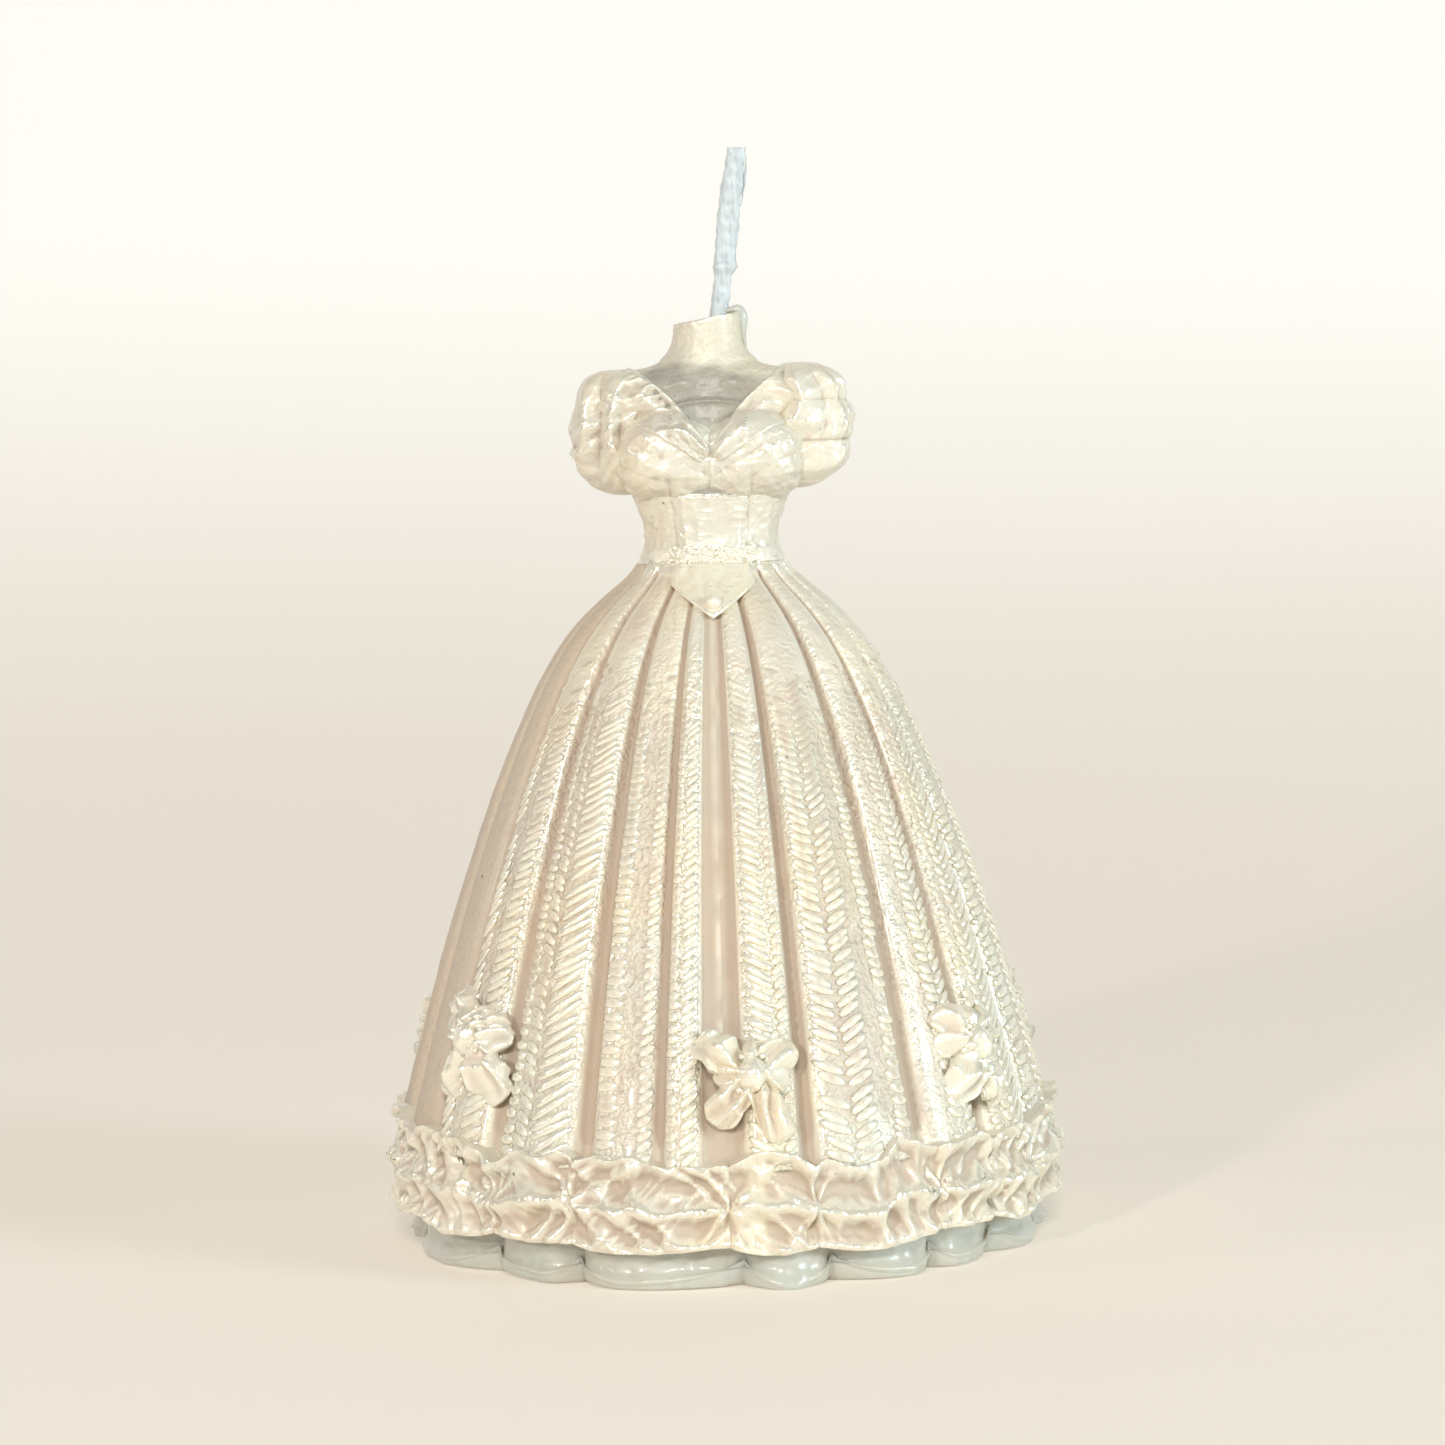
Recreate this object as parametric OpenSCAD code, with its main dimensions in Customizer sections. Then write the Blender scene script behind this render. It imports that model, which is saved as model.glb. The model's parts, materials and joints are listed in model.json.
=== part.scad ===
// Ball-gown unity candle: a solid wax gown on a full-length primed wick.
// Millimetres, +Z up, front of the gown towards -Y, origin at the middle of the base.

/* [Skirt] */
// Height of the waist seam above the table
waist_z = 74.8; // [62:0.1:92]
// Width of the skirt at the waist seam
waist_w = 15.2; // [13.5:0.1:18.5]
// Front-to-back size of the skirt at the waist seam
waist_d = 12.4; // [11.5:0.1:15]
// Radius of the folds where they meet the hem swags
hem_r = 35.5; // [29:0.1:43]
// How quickly the skirt opens out below the waist
flare = 0.56; // [0.5:0.01:0.7]
// Number of folds round the skirt
folds = 22; // [16:2:28]
// Depth of the valleys between the folds at the hem
fold_depth = 1.7; // [0.8:0.1:2.2]

/* [Hem] */
// Height of the petticoat that shows below the swags
petticoat_h = 4.5; // [3.6:0.1:6]
// Radius of the plain skirt foot that the petticoat ring closes round
foot_r = 24; // [20:0.5:26]
// Number of flutes round the petticoat
flutes = 13; // [9:1:17]
// How far the flutes stand out from the petticoat
flute_depth = 1.6; // [0.8:0.1:2.4]
// Height of the ruffled swags
swag_h = 10.5; // [8:0.1:12.6]
// Thickness of the ruffled swags
swag_t = 4; // [3:0.1:5]

/* [Bows] */
// Directions of the bows, and of the swags' joins below them, in degrees from the front
bow_angles = [5, 52, 110, 180, 250, 307];
// Height of the bow knots above the table
bow_z = 22.5; // [22:0.1:27]
// Length of the upper loops from the knot
loop_l = 5.6; // [4.5:0.1:6.8]
// Radius of the upper loops' full ends
loop_r = 2.2; // [1.8:0.1:2.6]
// Length of the puffed tails from the knot
tail_l = 6.6; // [5.5:0.1:7.6]
// Radius of the tails' full ends
tail_r = 2.3; // [1.9:0.1:2.8]
// Radius of a bow's knot
knot_r = 1.7; // [1.4:0.1:2]
// Height that a bow stands off the folds
bow_t = 2.6; // [2:0.1:3.2]
// Radius of the peg that holds a bow or a sleeve
peg_r = 1.3; // [1:0.1:1.6]

/* [Bodice] */
// Height of the corset from the waist seam to the line under the bust
corset_h = 7.4; // [6:0.1:9]
// Width of the corset at its narrowest
corset_w = 14.1; // [12.5:0.1:17]
// Width of the figure at the line under the bust
rib_w = 15.8; // [14:0.1:19]
// Front-to-back size of the figure at the line under the bust
rib_d = 12; // [10.5:0.1:14.5]
// Height from the line under the bust to the top of the shoulders
chest_h = 14; // [12:0.1:17]
// Width of the shoulders inside the sleeves
shoulder_w = 21; // [18.5:0.1:25]
// Width of each corset cup
cup_w = 9.8; // [8:0.1:11.5]
// Thickness of the applied trims: belt, front panel and basque
trim_t = 0.6; // [0.4:0.05:0.9]
// Thickness of the folds of the off-shoulder collar
collar_t = 1; // [0.7:0.05:1.3]
// Height of the beaded belt
belt_h = 1.6; // [1.2:0.1:2.2]
// Width of the corset's centre panel
panel_w = 8; // [6:0.1:9.5]
// Drop of the pointed basque below the waist seam
basque_drop = 5.6; // [4.6:0.1:7]
// Radius of the pearl at the point of the basque
pearl_r = 0.9; // [0.6:0.05:1.2]

/* [Neck and sleeves] */
// Width of the neck
neck_w = 7.6; // [6.8:0.1:9]
// Height of the neck above the shoulders, at its middle
neck_h = 5.4; // [4:0.1:7]
// Slope of the neck's cut top, in degrees
neck_slope = 9; // [0:1:14]
// Radius of the sleeve's fullest puff
puff_r = 4.6; // [3.8:0.1:5.4]
// Reach of the sleeve's outermost point from the middle of the figure
sleeve_reach = 16; // [14.5:0.1:19]

/* [Wick] */
// Radius of the round wick inside the wax
wick_r = 1.2; // [0.9:0.05:1.5]
// Length of wick that stands out of the neck
wick_stub = 18; // [10:0.5:24]
// Lean of the wick's channel, in degrees
channel_lean = 0.7; // [0:0.1:1]
// Further lean of the standing wick, in degrees
stub_lean = 6.5; // [0:0.5:12]
// Width of the pressed, flattened upper wick
stub_w = 2.5; // [2:0.1:3]
// Radius of the metal wick tab
tab_r = 7.5; // [6:0.5:10]
// Thickness of the metal wick tab
tab_t = 0.3; // [0.2:0.05:0.5]
// Height of the tab's crimped collar
collar_h = 3; // [2:0.1:5]
// Wall of the tab's crimped collar
collar_wall = 0.4; // [0.3:0.05:0.6]

/* [Fits] */
// Radial clearance of every peg, spigot and ring in its seat
seat_gap = 0.05; // [0.02:0.01:0.1]
// Depth of the spigots that stack the wax castings
spigot_h = 3; // [2:0.1:4]
// Radius of the spigots that stack the wax castings
spigot_r = 4; // [3.6:0.1:4.6]
// How far the tab lies inside the base, so that the wax carries the candle
tab_inset = 0.3; // [0.2:0.1:0.6]

/* [Hidden] */
$fn = 48;
facets = 32; // sides of the figure's lofted sections
puff_fn = 16; // sides of the spheres inside a hull
overcut = 1; // extra length of a cutting tool beyond the face that it cuts
fold_steps = 6; // points across one fold
skirt_levels = 14;
flute_steps = 8; // points across one petticoat flute
seam_angle = 0.2; // gap between one swag and the next, in degrees
edge = 0.5; // overlap of two shapes that are one casting
reach_all = 40; // half-size of a tool that cuts right across the figure

swag_z = petticoat_h; // the swags stand on the petticoat's top face
folds_z = swag_z + swag_h; // the folds end on the swags' top face
seat_r = hem_r - fold_depth - 0.4; // plain wax behind the swags
petticoat_r = seat_r - 0.4;
rib_z = waist_z + corset_h;
shoulder_z = rib_z + chest_h;
neck_z = shoulder_z + neck_h;
cup_z = rib_z + 0.33 * chest_h;
v_z = rib_z + 0.27 * chest_h; // lowest point of the collar's V

bows = len(bow_angles);
swag_names = [for (i = [1:bows]) str("hem_swag_", i)];
bow_names = [for (i = [1:bows]) str("bow_", i)];

ivory = [0.93, 0.88, 0.77];
plain_wax = [0.83, 0.84, 0.80];
cotton = [0.92, 0.94, 0.95];
tin = [0.75, 0.76, 0.78];

// ---- shared shapes ----

// A closed solid through rings of points that all have the same number of points.
module loft(rings) {
    n = len(rings[0]);
    m = len(rings);
    bottom = m * n;
    top = m * n + 1;
    mid = function (ring) [for (k = [0:2]) sum([for (p = ring) p[k]]) / n];
    points = concat([for (ring = rings) each ring], [mid(rings[0]), mid(rings[m - 1])]);
    sides = [for (j = [0:m - 2]) for (i = [0:n - 1])
        [j * n + i, (j + 1) * n + i, (j + 1) * n + (i + 1) % n, j * n + (i + 1) % n]];
    caps = [for (i = [0:n - 1]) each [
        [bottom, i, (i + 1) % n],
        [top, (m - 1) * n + (i + 1) % n, (m - 1) * n + i]]];
    polyhedron(points = points, faces = concat(sides, caps), convexity = 6);
}

function sum(v, i = 0) = i < len(v) ? v[i] + sum(v, i + 1) : 0;

function oval(z, w, d, y = 0) =
    [for (i = [0:facets - 1]) let (a = 360 * i / facets) [w / 2 * cos(a), y + d / 2 * sin(a), z]];

// Places children on the folds in direction a at height z, lying back along the slope, with +Z outwards.
module on_folds(a, z) {
    step = 0.5;
    slope = atan((reach(z - step, a) - reach(z + step, a)) / (2 * step));
    rotate([0, 0, a]) translate([0, -reach(z, a), z]) rotate([90 - slope, 0, 0]) children();
}

// A block that fills one side of a level, from z up or down.
module above(z, up = true) translate([-reach_all, -reach_all, up ? z : z - 2 * reach_all]) cube(2 * reach_all);

// ---- skirt ----

function drop(z) = (waist_z - z) / (waist_z - folds_z);
function fold_r(z) = waist_w / 2 + (hem_r - waist_w / 2) * pow(max(drop(z), 0), flare);
function depth_ratio(z) = waist_d / waist_w + (1 - waist_d / waist_w) * pow(max(drop(z), 0), 0.4);
function valley(z) = 0.35 + (fold_depth - 0.35) * pow(max(drop(z), 0), 0.6);

// Distance from the axis to the folds at height z, in direction a.
function reach(z, a) = fold_r(z) / sqrt(pow(sin(a), 2) + pow(cos(a) / depth_ratio(z), 2));

function skirt_ring(z) =
    [for (i = [0:folds * fold_steps - 1]) let (
        a = 360 * i / (folds * fold_steps),
        r = fold_r(z) - valley(z) * (1 - pow(abs(sin(folds * a / 2)), 0.7))
    ) [r * cos(a), r * sin(a) * depth_ratio(z), z]];

// Levels crowd towards the waist, where the skirt opens fastest.
skirt_z = [for (k = [0:skirt_levels]) waist_z - (waist_z - folds_z) * pow(k / skirt_levels, 1.7)];
rising_z = [for (k = [skirt_levels:-1:0]) skirt_z[k]];

module skirt() color(ivory) difference() {
    union() {
        loft([for (z = rising_z) skirt_ring(z)]);
        translate([0, 0, petticoat_h]) cylinder(r = seat_r, h = folds_z - petticoat_h);
        cylinder(r = foot_r, h = petticoat_h);
    }
    wick_channel();
    tab_recess();
    translate([0, 0, waist_z - spigot_h - seat_gap])
        cylinder(r = spigot_r + seat_gap, h = spigot_h + seat_gap + overcut);
    for (a = bow_angles) on_folds(a, bow_z)
        translate([0, 0, -peg_h - seat_gap]) cylinder(r = peg_r + seat_gap, h = peg_h + overcut);
}

// ---- petticoat ----

module petticoat_outline() {
    polygon([for (i = [0:flutes * flute_steps - 1]) let (
        a = 360 * i / (flutes * flute_steps),
        r = petticoat_r + flute_depth * pow(abs(sin(flutes * a / 2)), 0.5)
    ) [r * cos(a), r * sin(a)]]);
}

module petticoat() color(plain_wax) difference() {
    linear_extrude(petticoat_h) petticoat_outline();
    translate([0, 0, -overcut]) cylinder(r = foot_r + seat_gap, h = petticoat_h + 2 * overcut);
}

// ---- swags ----

// Cross-section of the gathered ribbon: an upper and a lower puff with the stitched line between them.
module swag_section() {
    r0 = seat_r + seat_gap;
    r1 = seat_r + swag_t;
    polygon([
        [r0, swag_z], [r1 - 1.1, swag_z], [r1 - 0.2, swag_z + 0.16 * swag_h], [r1, swag_z + 0.34 * swag_h],
        [r1 - 0.9, swag_z + 0.5 * swag_h], [r1 - 0.2, swag_z + 0.66 * swag_h], [r1 - 0.5, swag_z + 0.86 * swag_h],
        [r1 - 1.5, folds_z], [r0, folds_z]
    ]);
}

// Each swag runs from one bow to the next.
module hem_swag(i) color(ivory) {
    start = bow_angles[i];
    end = i < bows - 1 ? bow_angles[i + 1] : bow_angles[0] + 360;
    rotate([0, 0, start - 90]) rotate_extrude(angle = end - start - seam_angle) swag_section();
}

// ---- bows ----

peg_h = fold_depth + 1.6; // long enough to reach past a valley

// A puffed lobe from the knot to its full end, in the plane of the bow.
module lobe(angle, length, end_r) rotate([0, 0, angle]) hull() {
    translate([knot_r * 0.5, 0, 0.4]) sphere(r = knot_r * 0.5, $fn = puff_fn);
    translate([length - end_r, 0, 0.2]) scale([1, 1, (bow_t - 0.2) / end_r]) sphere(r = end_r, $fn = puff_fn);
}

module bow(i) color(ivory) on_folds(bow_angles[i], bow_z) {
    difference() {
        union() {
            lobe(28, loop_l, loop_r);
            lobe(152, loop_l, loop_r);
            lobe(-62, tail_l, tail_r);
            lobe(-118, tail_l, tail_r);
            translate([0, 0, bow_t - knot_r + 0.3]) sphere(r = knot_r);
        }
        above(seat_gap, false);
    }
    translate([0, 0, -peg_h]) cylinder(r = peg_r, h = peg_h + edge);
}

// ---- figure ----

function corset_ring(z, grow = 0) =
    let (
        f = (z - waist_z) / corset_h,
        dip = 4 * f * (1 - f), // 1 at the narrowest line, 0 at the seam and under the bust
        w = waist_w + (rib_w - waist_w) * f - dip * ((waist_w + rib_w) / 2 - corset_w),
        d = waist_d + (rib_d - waist_d) * f - dip * 0.9
    ) oval(z, w + 2 * grow, d + 2 * grow);

module corset_body(grow = 0, extra = 0) {
    low = waist_z - extra;
    rings = [for (k = [0:6]) corset_ring(waist_z + corset_h * k / 6, grow)];
    loft(concat(extra > 0 ? [oval(low, waist_w + 2 * grow, waist_d + 2 * grow)] : [], rings));
}

module corset() color(ivory) difference() {
    union() {
        corset_body();
        translate([0, 0, waist_z - spigot_h]) cylinder(r = spigot_r, h = spigot_h + edge);
    }
    wick_channel();
    translate([0, 0, rib_z - spigot_h - seat_gap])
        cylinder(r = spigot_r + seat_gap, h = spigot_h + seat_gap + overcut);
}

module belt() color(ivory) difference() {
    corset_body(trim_t);
    above(waist_z + belt_h);
    corset_body(seat_gap);
}

module front_panel() color(ivory) intersection() {
    difference() {
        corset_body(trim_t * 0.8);
        corset_body(seat_gap);
    }
    translate([-panel_w / 2, -reach_all, waist_z + belt_h + seat_gap])
        cube([panel_w, reach_all, corset_h - belt_h - 2 * seat_gap]);
}

// The pointed front flap lies on the skirt's folds: upright sections, side by side across the front.
basque_half = panel_w / 2;
basque_wing = basque_half + 0.8; // half-width at its side corners
basque_side = 0.45 * basque_drop; // drop of the side corners
basque_sections = 9; // sections on each side of the middle

function basque_top(x) = -0.15 - basque_side * max(x - basque_half, 0) / (basque_wing - basque_half);
function basque_low(x) = -basque_drop + (basque_drop - basque_side) * x / basque_wing;
function front_y(x, z, off) = -depth_ratio(z) * sqrt(pow(fold_r(z) + off, 2) - x * x);

function basque_wall(x, off, up) = [for (k = [0:6]) let (
    share = up ? k / 6 : 1 - k / 6,
    z = waist_z + basque_low(abs(x)) + share * (basque_top(abs(x)) - basque_low(abs(x)))
) [x, front_y(x, z, off), z]];

module basque() color(ivory) loft([
    for (k = [-basque_sections:basque_sections]) let (x = 0.97 * basque_wing * k / basque_sections)
        concat(basque_wall(x, seat_gap, true), basque_wall(x, trim_t, false))
]);

// The pearl lies on the basque, just above its point.
module basque_pearl() color(ivory) on_folds(0, waist_z - basque_drop + pearl_r) difference() {
    translate([0, 0, trim_t + pearl_r * 0.7]) sphere(r = pearl_r);
    above(trim_t + seat_gap, false);
}

// Heights are shares of the chest, from the line under the bust to the top of the shoulders.
function chest_ring(share, w, d, grow = 0) = oval(rib_z + share * chest_h, w + 2 * grow, d + 2 * grow);

function shoulder_rings(grow = 0) = [
    chest_ring(0, rib_w, rib_d, grow),
    chest_ring(0.3, rib_w + 1.8, rib_d + 0.8, grow),
    chest_ring(0.62, shoulder_w - 1.4, rib_d - 0.2, grow),
    chest_ring(0.87, shoulder_w, rib_d - 2.4, grow),
    chest_ring(0.97, shoulder_w - 1, rib_d - 3.6, grow),
    chest_ring(1.02, neck_w + 7, rib_d - 4, grow)
];

function neck_rings() = [
    oval(shoulder_z + 0.8, neck_w + 2.6, neck_w + 0.6),
    oval(shoulder_z + 1.9, neck_w + 0.7, neck_w + 0.1),
    oval(shoulder_z + 3.4, neck_w, neck_w - 0.4),
    oval(neck_z + 2, neck_w, neck_w - 0.4)
];

module chest_body(grow = 0) loft(shoulder_rings(grow));

module neck_cut() translate([0, 0, neck_z]) rotate([0, -neck_slope, 0]) above(0);

module bust_form() color(ivory) difference() {
    union() {
        loft(concat(shoulder_rings(), neck_rings()));
        translate([0, 0, rib_z - spigot_h]) cylinder(r = spigot_r, h = spigot_h + edge);
    }
    wick_channel();
    neck_cut();
    for (side = [-1, 1]) sleeve_peg(side, seat_gap);
}

// ---- corset cups and collar ----

// One collar fold seen from the front: its lower and upper edges, from the V to the shoulder.
collar_low = [[0, v_z], [6, v_z + 3], [shoulder_w / 2 - 0.6, shoulder_z - 5]];
collar_high = [[shoulder_w / 2 - 0.3, shoulder_z - 2.2], [shoulder_w / 2 - 1.6, shoulder_z - 1.2],
    [5, v_z + 6.2], [0, v_z + 2]];

module front_prism(side, outline)
    scale([side, 1, 1]) rotate([90, 0, 0]) linear_extrude(reach_all) polygon(outline);

module collar_region(side) front_prism(side, concat(collar_low, collar_high));

module other_side(side)
    scale([-side, 1, 1]) translate([-seat_gap / 2, -reach_all, 0]) cube([reach_all, 2 * reach_all, 2 * neck_z]);

module cup_shape(side) translate([side * cup_w * 0.49, -rib_d * 0.27, cup_z]) sphere(r = cup_w / 2);

module cup(side) color(ivory) difference() {
    cup_shape(side);
    chest_body(seat_gap);
    front_prism(side, concat(collar_low, [[reach_all, shoulder_z], [0, shoulder_z]]));
    other_side(side);
    above(rib_z, false);
}

module collar(side) color(ivory) intersection() {
    difference() {
        chest_body(collar_t);
        chest_body(seat_gap);
        other_side(side);
    }
    collar_region(side);
}

// ---- sleeves ----

module sleeve_peg(side, gap) translate([side * (shoulder_w / 2 - 3), 0, shoulder_z - 5])
    rotate([0, side * 90, 0]) cylinder(r = peg_r + gap, h = 3 + gap);

module sleeve_puff(side) scale([side, 1, 1]) hull() {
    translate([sleeve_reach - puff_r - 0.4, 0, shoulder_z + 0.2 - puff_r]) sphere(r = puff_r, $fn = puff_fn);
    translate([sleeve_reach - puff_r * 0.86, 0, shoulder_z - 7.5]) sphere(r = puff_r * 0.86, $fn = puff_fn);
    translate([sleeve_reach - 6.4, 0, rib_z + 3]) sphere(r = puff_r * 0.6, $fn = puff_fn);
}

// The sleeve is cut back from the chest, and from the collar fold where that crosses the shoulder.
module sleeve(side) color(ivory) union() {
    difference() {
        sleeve_puff(side);
        chest_body(seat_gap);
        cup_shape(side);
        intersection() {
            chest_body(collar_t + seat_gap);
            collar_region(side);
        }
    }
    sleeve_peg(side, 0);
}

// ---- wick ----

module along_channel() rotate([0, channel_lean, 0]) children();

module wick_channel() along_channel()
    translate([0, 0, -overcut]) cylinder(r = wick_r + seat_gap, h = neck_z + 20);

module tab_recess() {
    translate([0, 0, -overcut]) cylinder(r = tab_r + seat_gap, h = overcut + tab_inset + tab_t);
    cylinder(r = tab_collar_r + seat_gap, h = tab_inset + collar_h + seat_gap);
}

tab_collar_r = wick_r + seat_gap + collar_wall;

module wick_tab() color(tin) difference() {
    union() {
        translate([0, 0, tab_inset]) cylinder(r = tab_r, h = tab_t);
        translate([0, 0, tab_inset]) cylinder(r = tab_collar_r, h = collar_h);
    }
    wick_channel();
}

// The wick fills its channel, then is pressed flat, with a knuckle where it was bent.
module wick() color(cotton) along_channel() {
    stub_z = neck_z + 0.4;
    low = tab_inset + 0.1;
    knuckle = 0.3 * wick_stub;
    flat = 1.2; // length over which the wick goes from round to flat
    translate([0, 0, low]) cylinder(r = wick_r, h = stub_z - low);
    translate([0, 0, stub_z]) rotate([0, stub_lean, 0]) {
        hull() {
            translate([0, 0, -0.2]) cylinder(r = wick_r * 0.95, h = edge, $fn = puff_fn);
            pressed(0.86, knuckle, 0.3);
        }
        hull() {
            pressed(0.86, knuckle, 0.3);
            pressed(1, knuckle + flat, 0.3);
        }
        pressed(1, knuckle + flat, wick_stub - knuckle - flat);
    }
}

// A length of flattened wick, from z upwards.
module pressed(share, z, h)
    translate([-share * stub_w / 2, -share * stub_w * 0.4, z]) cube([share * stub_w, share * stub_w * 0.8, h]);

// A run of topping-up wax on the high side of the cut neck, beside the wick.
module wax_run() color(plain_wax) difference() {
    hull() {
        translate([neck_w / 2 - 0.9, 0, neck_z + 0.3]) sphere(r = 1, $fn = puff_fn);
        translate([neck_w / 2 + 0.1, 0, neck_z - 1.8]) sphere(r = 0.6, $fn = puff_fn);
    }
    along_channel() cylinder(r = wick_r * 1.3, h = neck_z + 20);
    difference() {
        loft(neck_rings());
        neck_cut();
    }
}

wick();
wick_tab();
skirt();
petticoat();
for (i = [0:bows - 1]) {
    hem_swag(i);
    bow(i);
}
corset();
front_panel();
belt();
basque();
basque_pearl();
bust_form();
cup(-1);  // cup_left
cup(1);  // cup_right
collar(-1);  // collar_left
collar(1);  // collar_right
sleeve(-1);  // sleeve_left
sleeve(1);  // sleeve_right
wax_run();
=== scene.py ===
"""Gown-shaped unity candle of moulded pearl wax, with pressed lace, bows, a ruffle and a primed wick."""

import json
import math

import bpy
import numpy as np
from mathutils import Matrix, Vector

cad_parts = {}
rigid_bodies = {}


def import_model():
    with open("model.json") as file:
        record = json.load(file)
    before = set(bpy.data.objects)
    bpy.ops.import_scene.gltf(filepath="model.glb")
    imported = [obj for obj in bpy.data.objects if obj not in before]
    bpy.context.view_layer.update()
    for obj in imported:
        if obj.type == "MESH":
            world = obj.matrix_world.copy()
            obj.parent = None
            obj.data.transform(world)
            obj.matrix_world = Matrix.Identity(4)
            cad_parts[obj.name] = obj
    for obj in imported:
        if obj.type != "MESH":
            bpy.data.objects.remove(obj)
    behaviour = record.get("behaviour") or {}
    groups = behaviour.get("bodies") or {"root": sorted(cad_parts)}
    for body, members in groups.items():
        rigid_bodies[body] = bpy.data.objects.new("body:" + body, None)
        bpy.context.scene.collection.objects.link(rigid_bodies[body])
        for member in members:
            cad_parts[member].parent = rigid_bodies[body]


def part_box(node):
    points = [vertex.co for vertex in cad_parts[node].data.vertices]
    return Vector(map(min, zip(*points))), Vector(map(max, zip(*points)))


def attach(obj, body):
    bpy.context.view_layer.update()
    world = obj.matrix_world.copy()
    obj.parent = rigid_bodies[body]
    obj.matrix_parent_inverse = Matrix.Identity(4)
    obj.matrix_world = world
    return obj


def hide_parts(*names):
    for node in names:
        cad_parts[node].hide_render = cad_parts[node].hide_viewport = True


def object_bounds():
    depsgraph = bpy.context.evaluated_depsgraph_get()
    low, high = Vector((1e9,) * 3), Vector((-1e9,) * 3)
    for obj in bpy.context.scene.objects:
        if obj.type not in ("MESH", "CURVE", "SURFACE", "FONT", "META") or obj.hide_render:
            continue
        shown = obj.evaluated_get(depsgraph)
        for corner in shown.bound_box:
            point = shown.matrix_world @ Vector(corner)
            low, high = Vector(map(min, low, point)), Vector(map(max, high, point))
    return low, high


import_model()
cad_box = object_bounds()

bl_info = {
    "name": "Gown candle",
    "version": (1, 0, 0),
    "blender": (4, 5, 0),
    "location": "View3D > Sidebar > Gown candle",
    "description": "Builds the visible pieces of a gown-shaped wax candle round its packed parts",
    "category": "Add Mesh",
}

MM = 0.001

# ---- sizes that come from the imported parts, in millimetres ----


def low(node):
    """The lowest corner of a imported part, in millimetres."""
    return np.array(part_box(node)[0]) / MM


def high(node):
    """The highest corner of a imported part, in millimetres."""
    return np.array(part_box(node)[1]) / MM


WAIST_Z = high("skirt")[2]
WAIST_R = (high("belt")[0] - low("belt")[0]) / 2 - 0.6
RIB_Z = high("corset")[2]
# The neck's cut top slopes up from this height to the bust form's highest point.
NECK_LOW_Z = 100.7
NECK_Z = (high("bust_form")[2] + NECK_LOW_Z) / 2
HEM_Z = high("hem_swag_1")[2]
SWAG_Z = low("hem_swag_1")[2]
SWAG_R = cad_box[1].x / MM
HEM_R = high("skirt")[1]
TAB_R = high("wick_tab")[0]
TAB_Z = low("wick_tab")[2]
TIP_Z = high("wick")[2]
# Radius of the skirt's plain foot, and of the seat above it that the swags lie round.
FOOT_R, SEAT_R = 24.0, 32.4


# ---- settings that a user would change ----


class GownSizes(bpy.types.PropertyGroup):
    """Sizes of the gown's relief."""

    fold_depth: bpy.props.FloatProperty(
        name="Fold depth",
        description="Depth of the valleys between the skirt's folds at the hem",
        default=2.3 * MM,
        unit="LENGTH",
    )
    lace_pitch: bpy.props.FloatProperty(
        name="Lace pitch",
        description="Height from one bar of the pressed lace to the next",
        default=0.97 * MM,
        unit="LENGTH",
    )
    lace_height: bpy.props.FloatProperty(
        name="Lace height",
        description="Height that the bars of the lace stand off the wax",
        default=0.40 * MM,
        unit="LENGTH",
    )
    crumple: bpy.props.FloatProperty(
        name="Crumple",
        description="Depth of the creases in the ruffle, bows and sleeves",
        default=1.0 * MM,
        unit="LENGTH",
    )


class WaxColours(bpy.types.PropertyGroup):
    """Colours of the wax and the wick."""

    pearl: bpy.props.FloatVectorProperty(
        name="Pearl wax",
        description="Colour of the glazed wax",
        subtype="COLOR",
        size=4,
        default=(0.79, 0.75, 0.66, 1),
    )
    plain: bpy.props.FloatVectorProperty(
        name="Plain wax",
        description="Colour of the bare wax of the petticoat",
        subtype="COLOR",
        size=4,
        default=(0.53, 0.52, 0.46, 1),
    )
    cotton: bpy.props.FloatVectorProperty(
        name="Cotton",
        description="Colour of the primed wick",
        subtype="COLOR",
        size=4,
        default=(0.56, 0.62, 0.65, 1),
    )


class StageSettings(bpy.types.PropertyGroup):
    """Camera and floor."""

    distance: bpy.props.FloatProperty(
        name="Camera distance",
        description="From the candle's axis to the camera",
        default=0.56,
        unit="LENGTH",
    )
    height: bpy.props.FloatProperty(
        name="Camera height",
        description="Height of the camera above the floor",
        default=0.105,
        unit="LENGTH",
    )
    lens: bpy.props.FloatProperty(
        name="Lens", description="Focal length of the camera", default=126.6, unit="CAMERA"
    )
    roll: bpy.props.FloatProperty(
        name="Roll",
        description="Turn of the camera about its own line of sight",
        default=math.radians(-1.3),
        unit="ROTATION",
    )
    backdrop: bpy.props.FloatVectorProperty(
        name="Backdrop",
        description="Colour of the floor and backdrop",
        subtype="COLOR",
        size=4,
        default=(0.965, 0.945, 0.905, 1),
    )


# ---- numbers ----


# Large odd numbers that scatter the random values of wander.
SCATTER = (374761393, 668265263, 1103515245)


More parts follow.
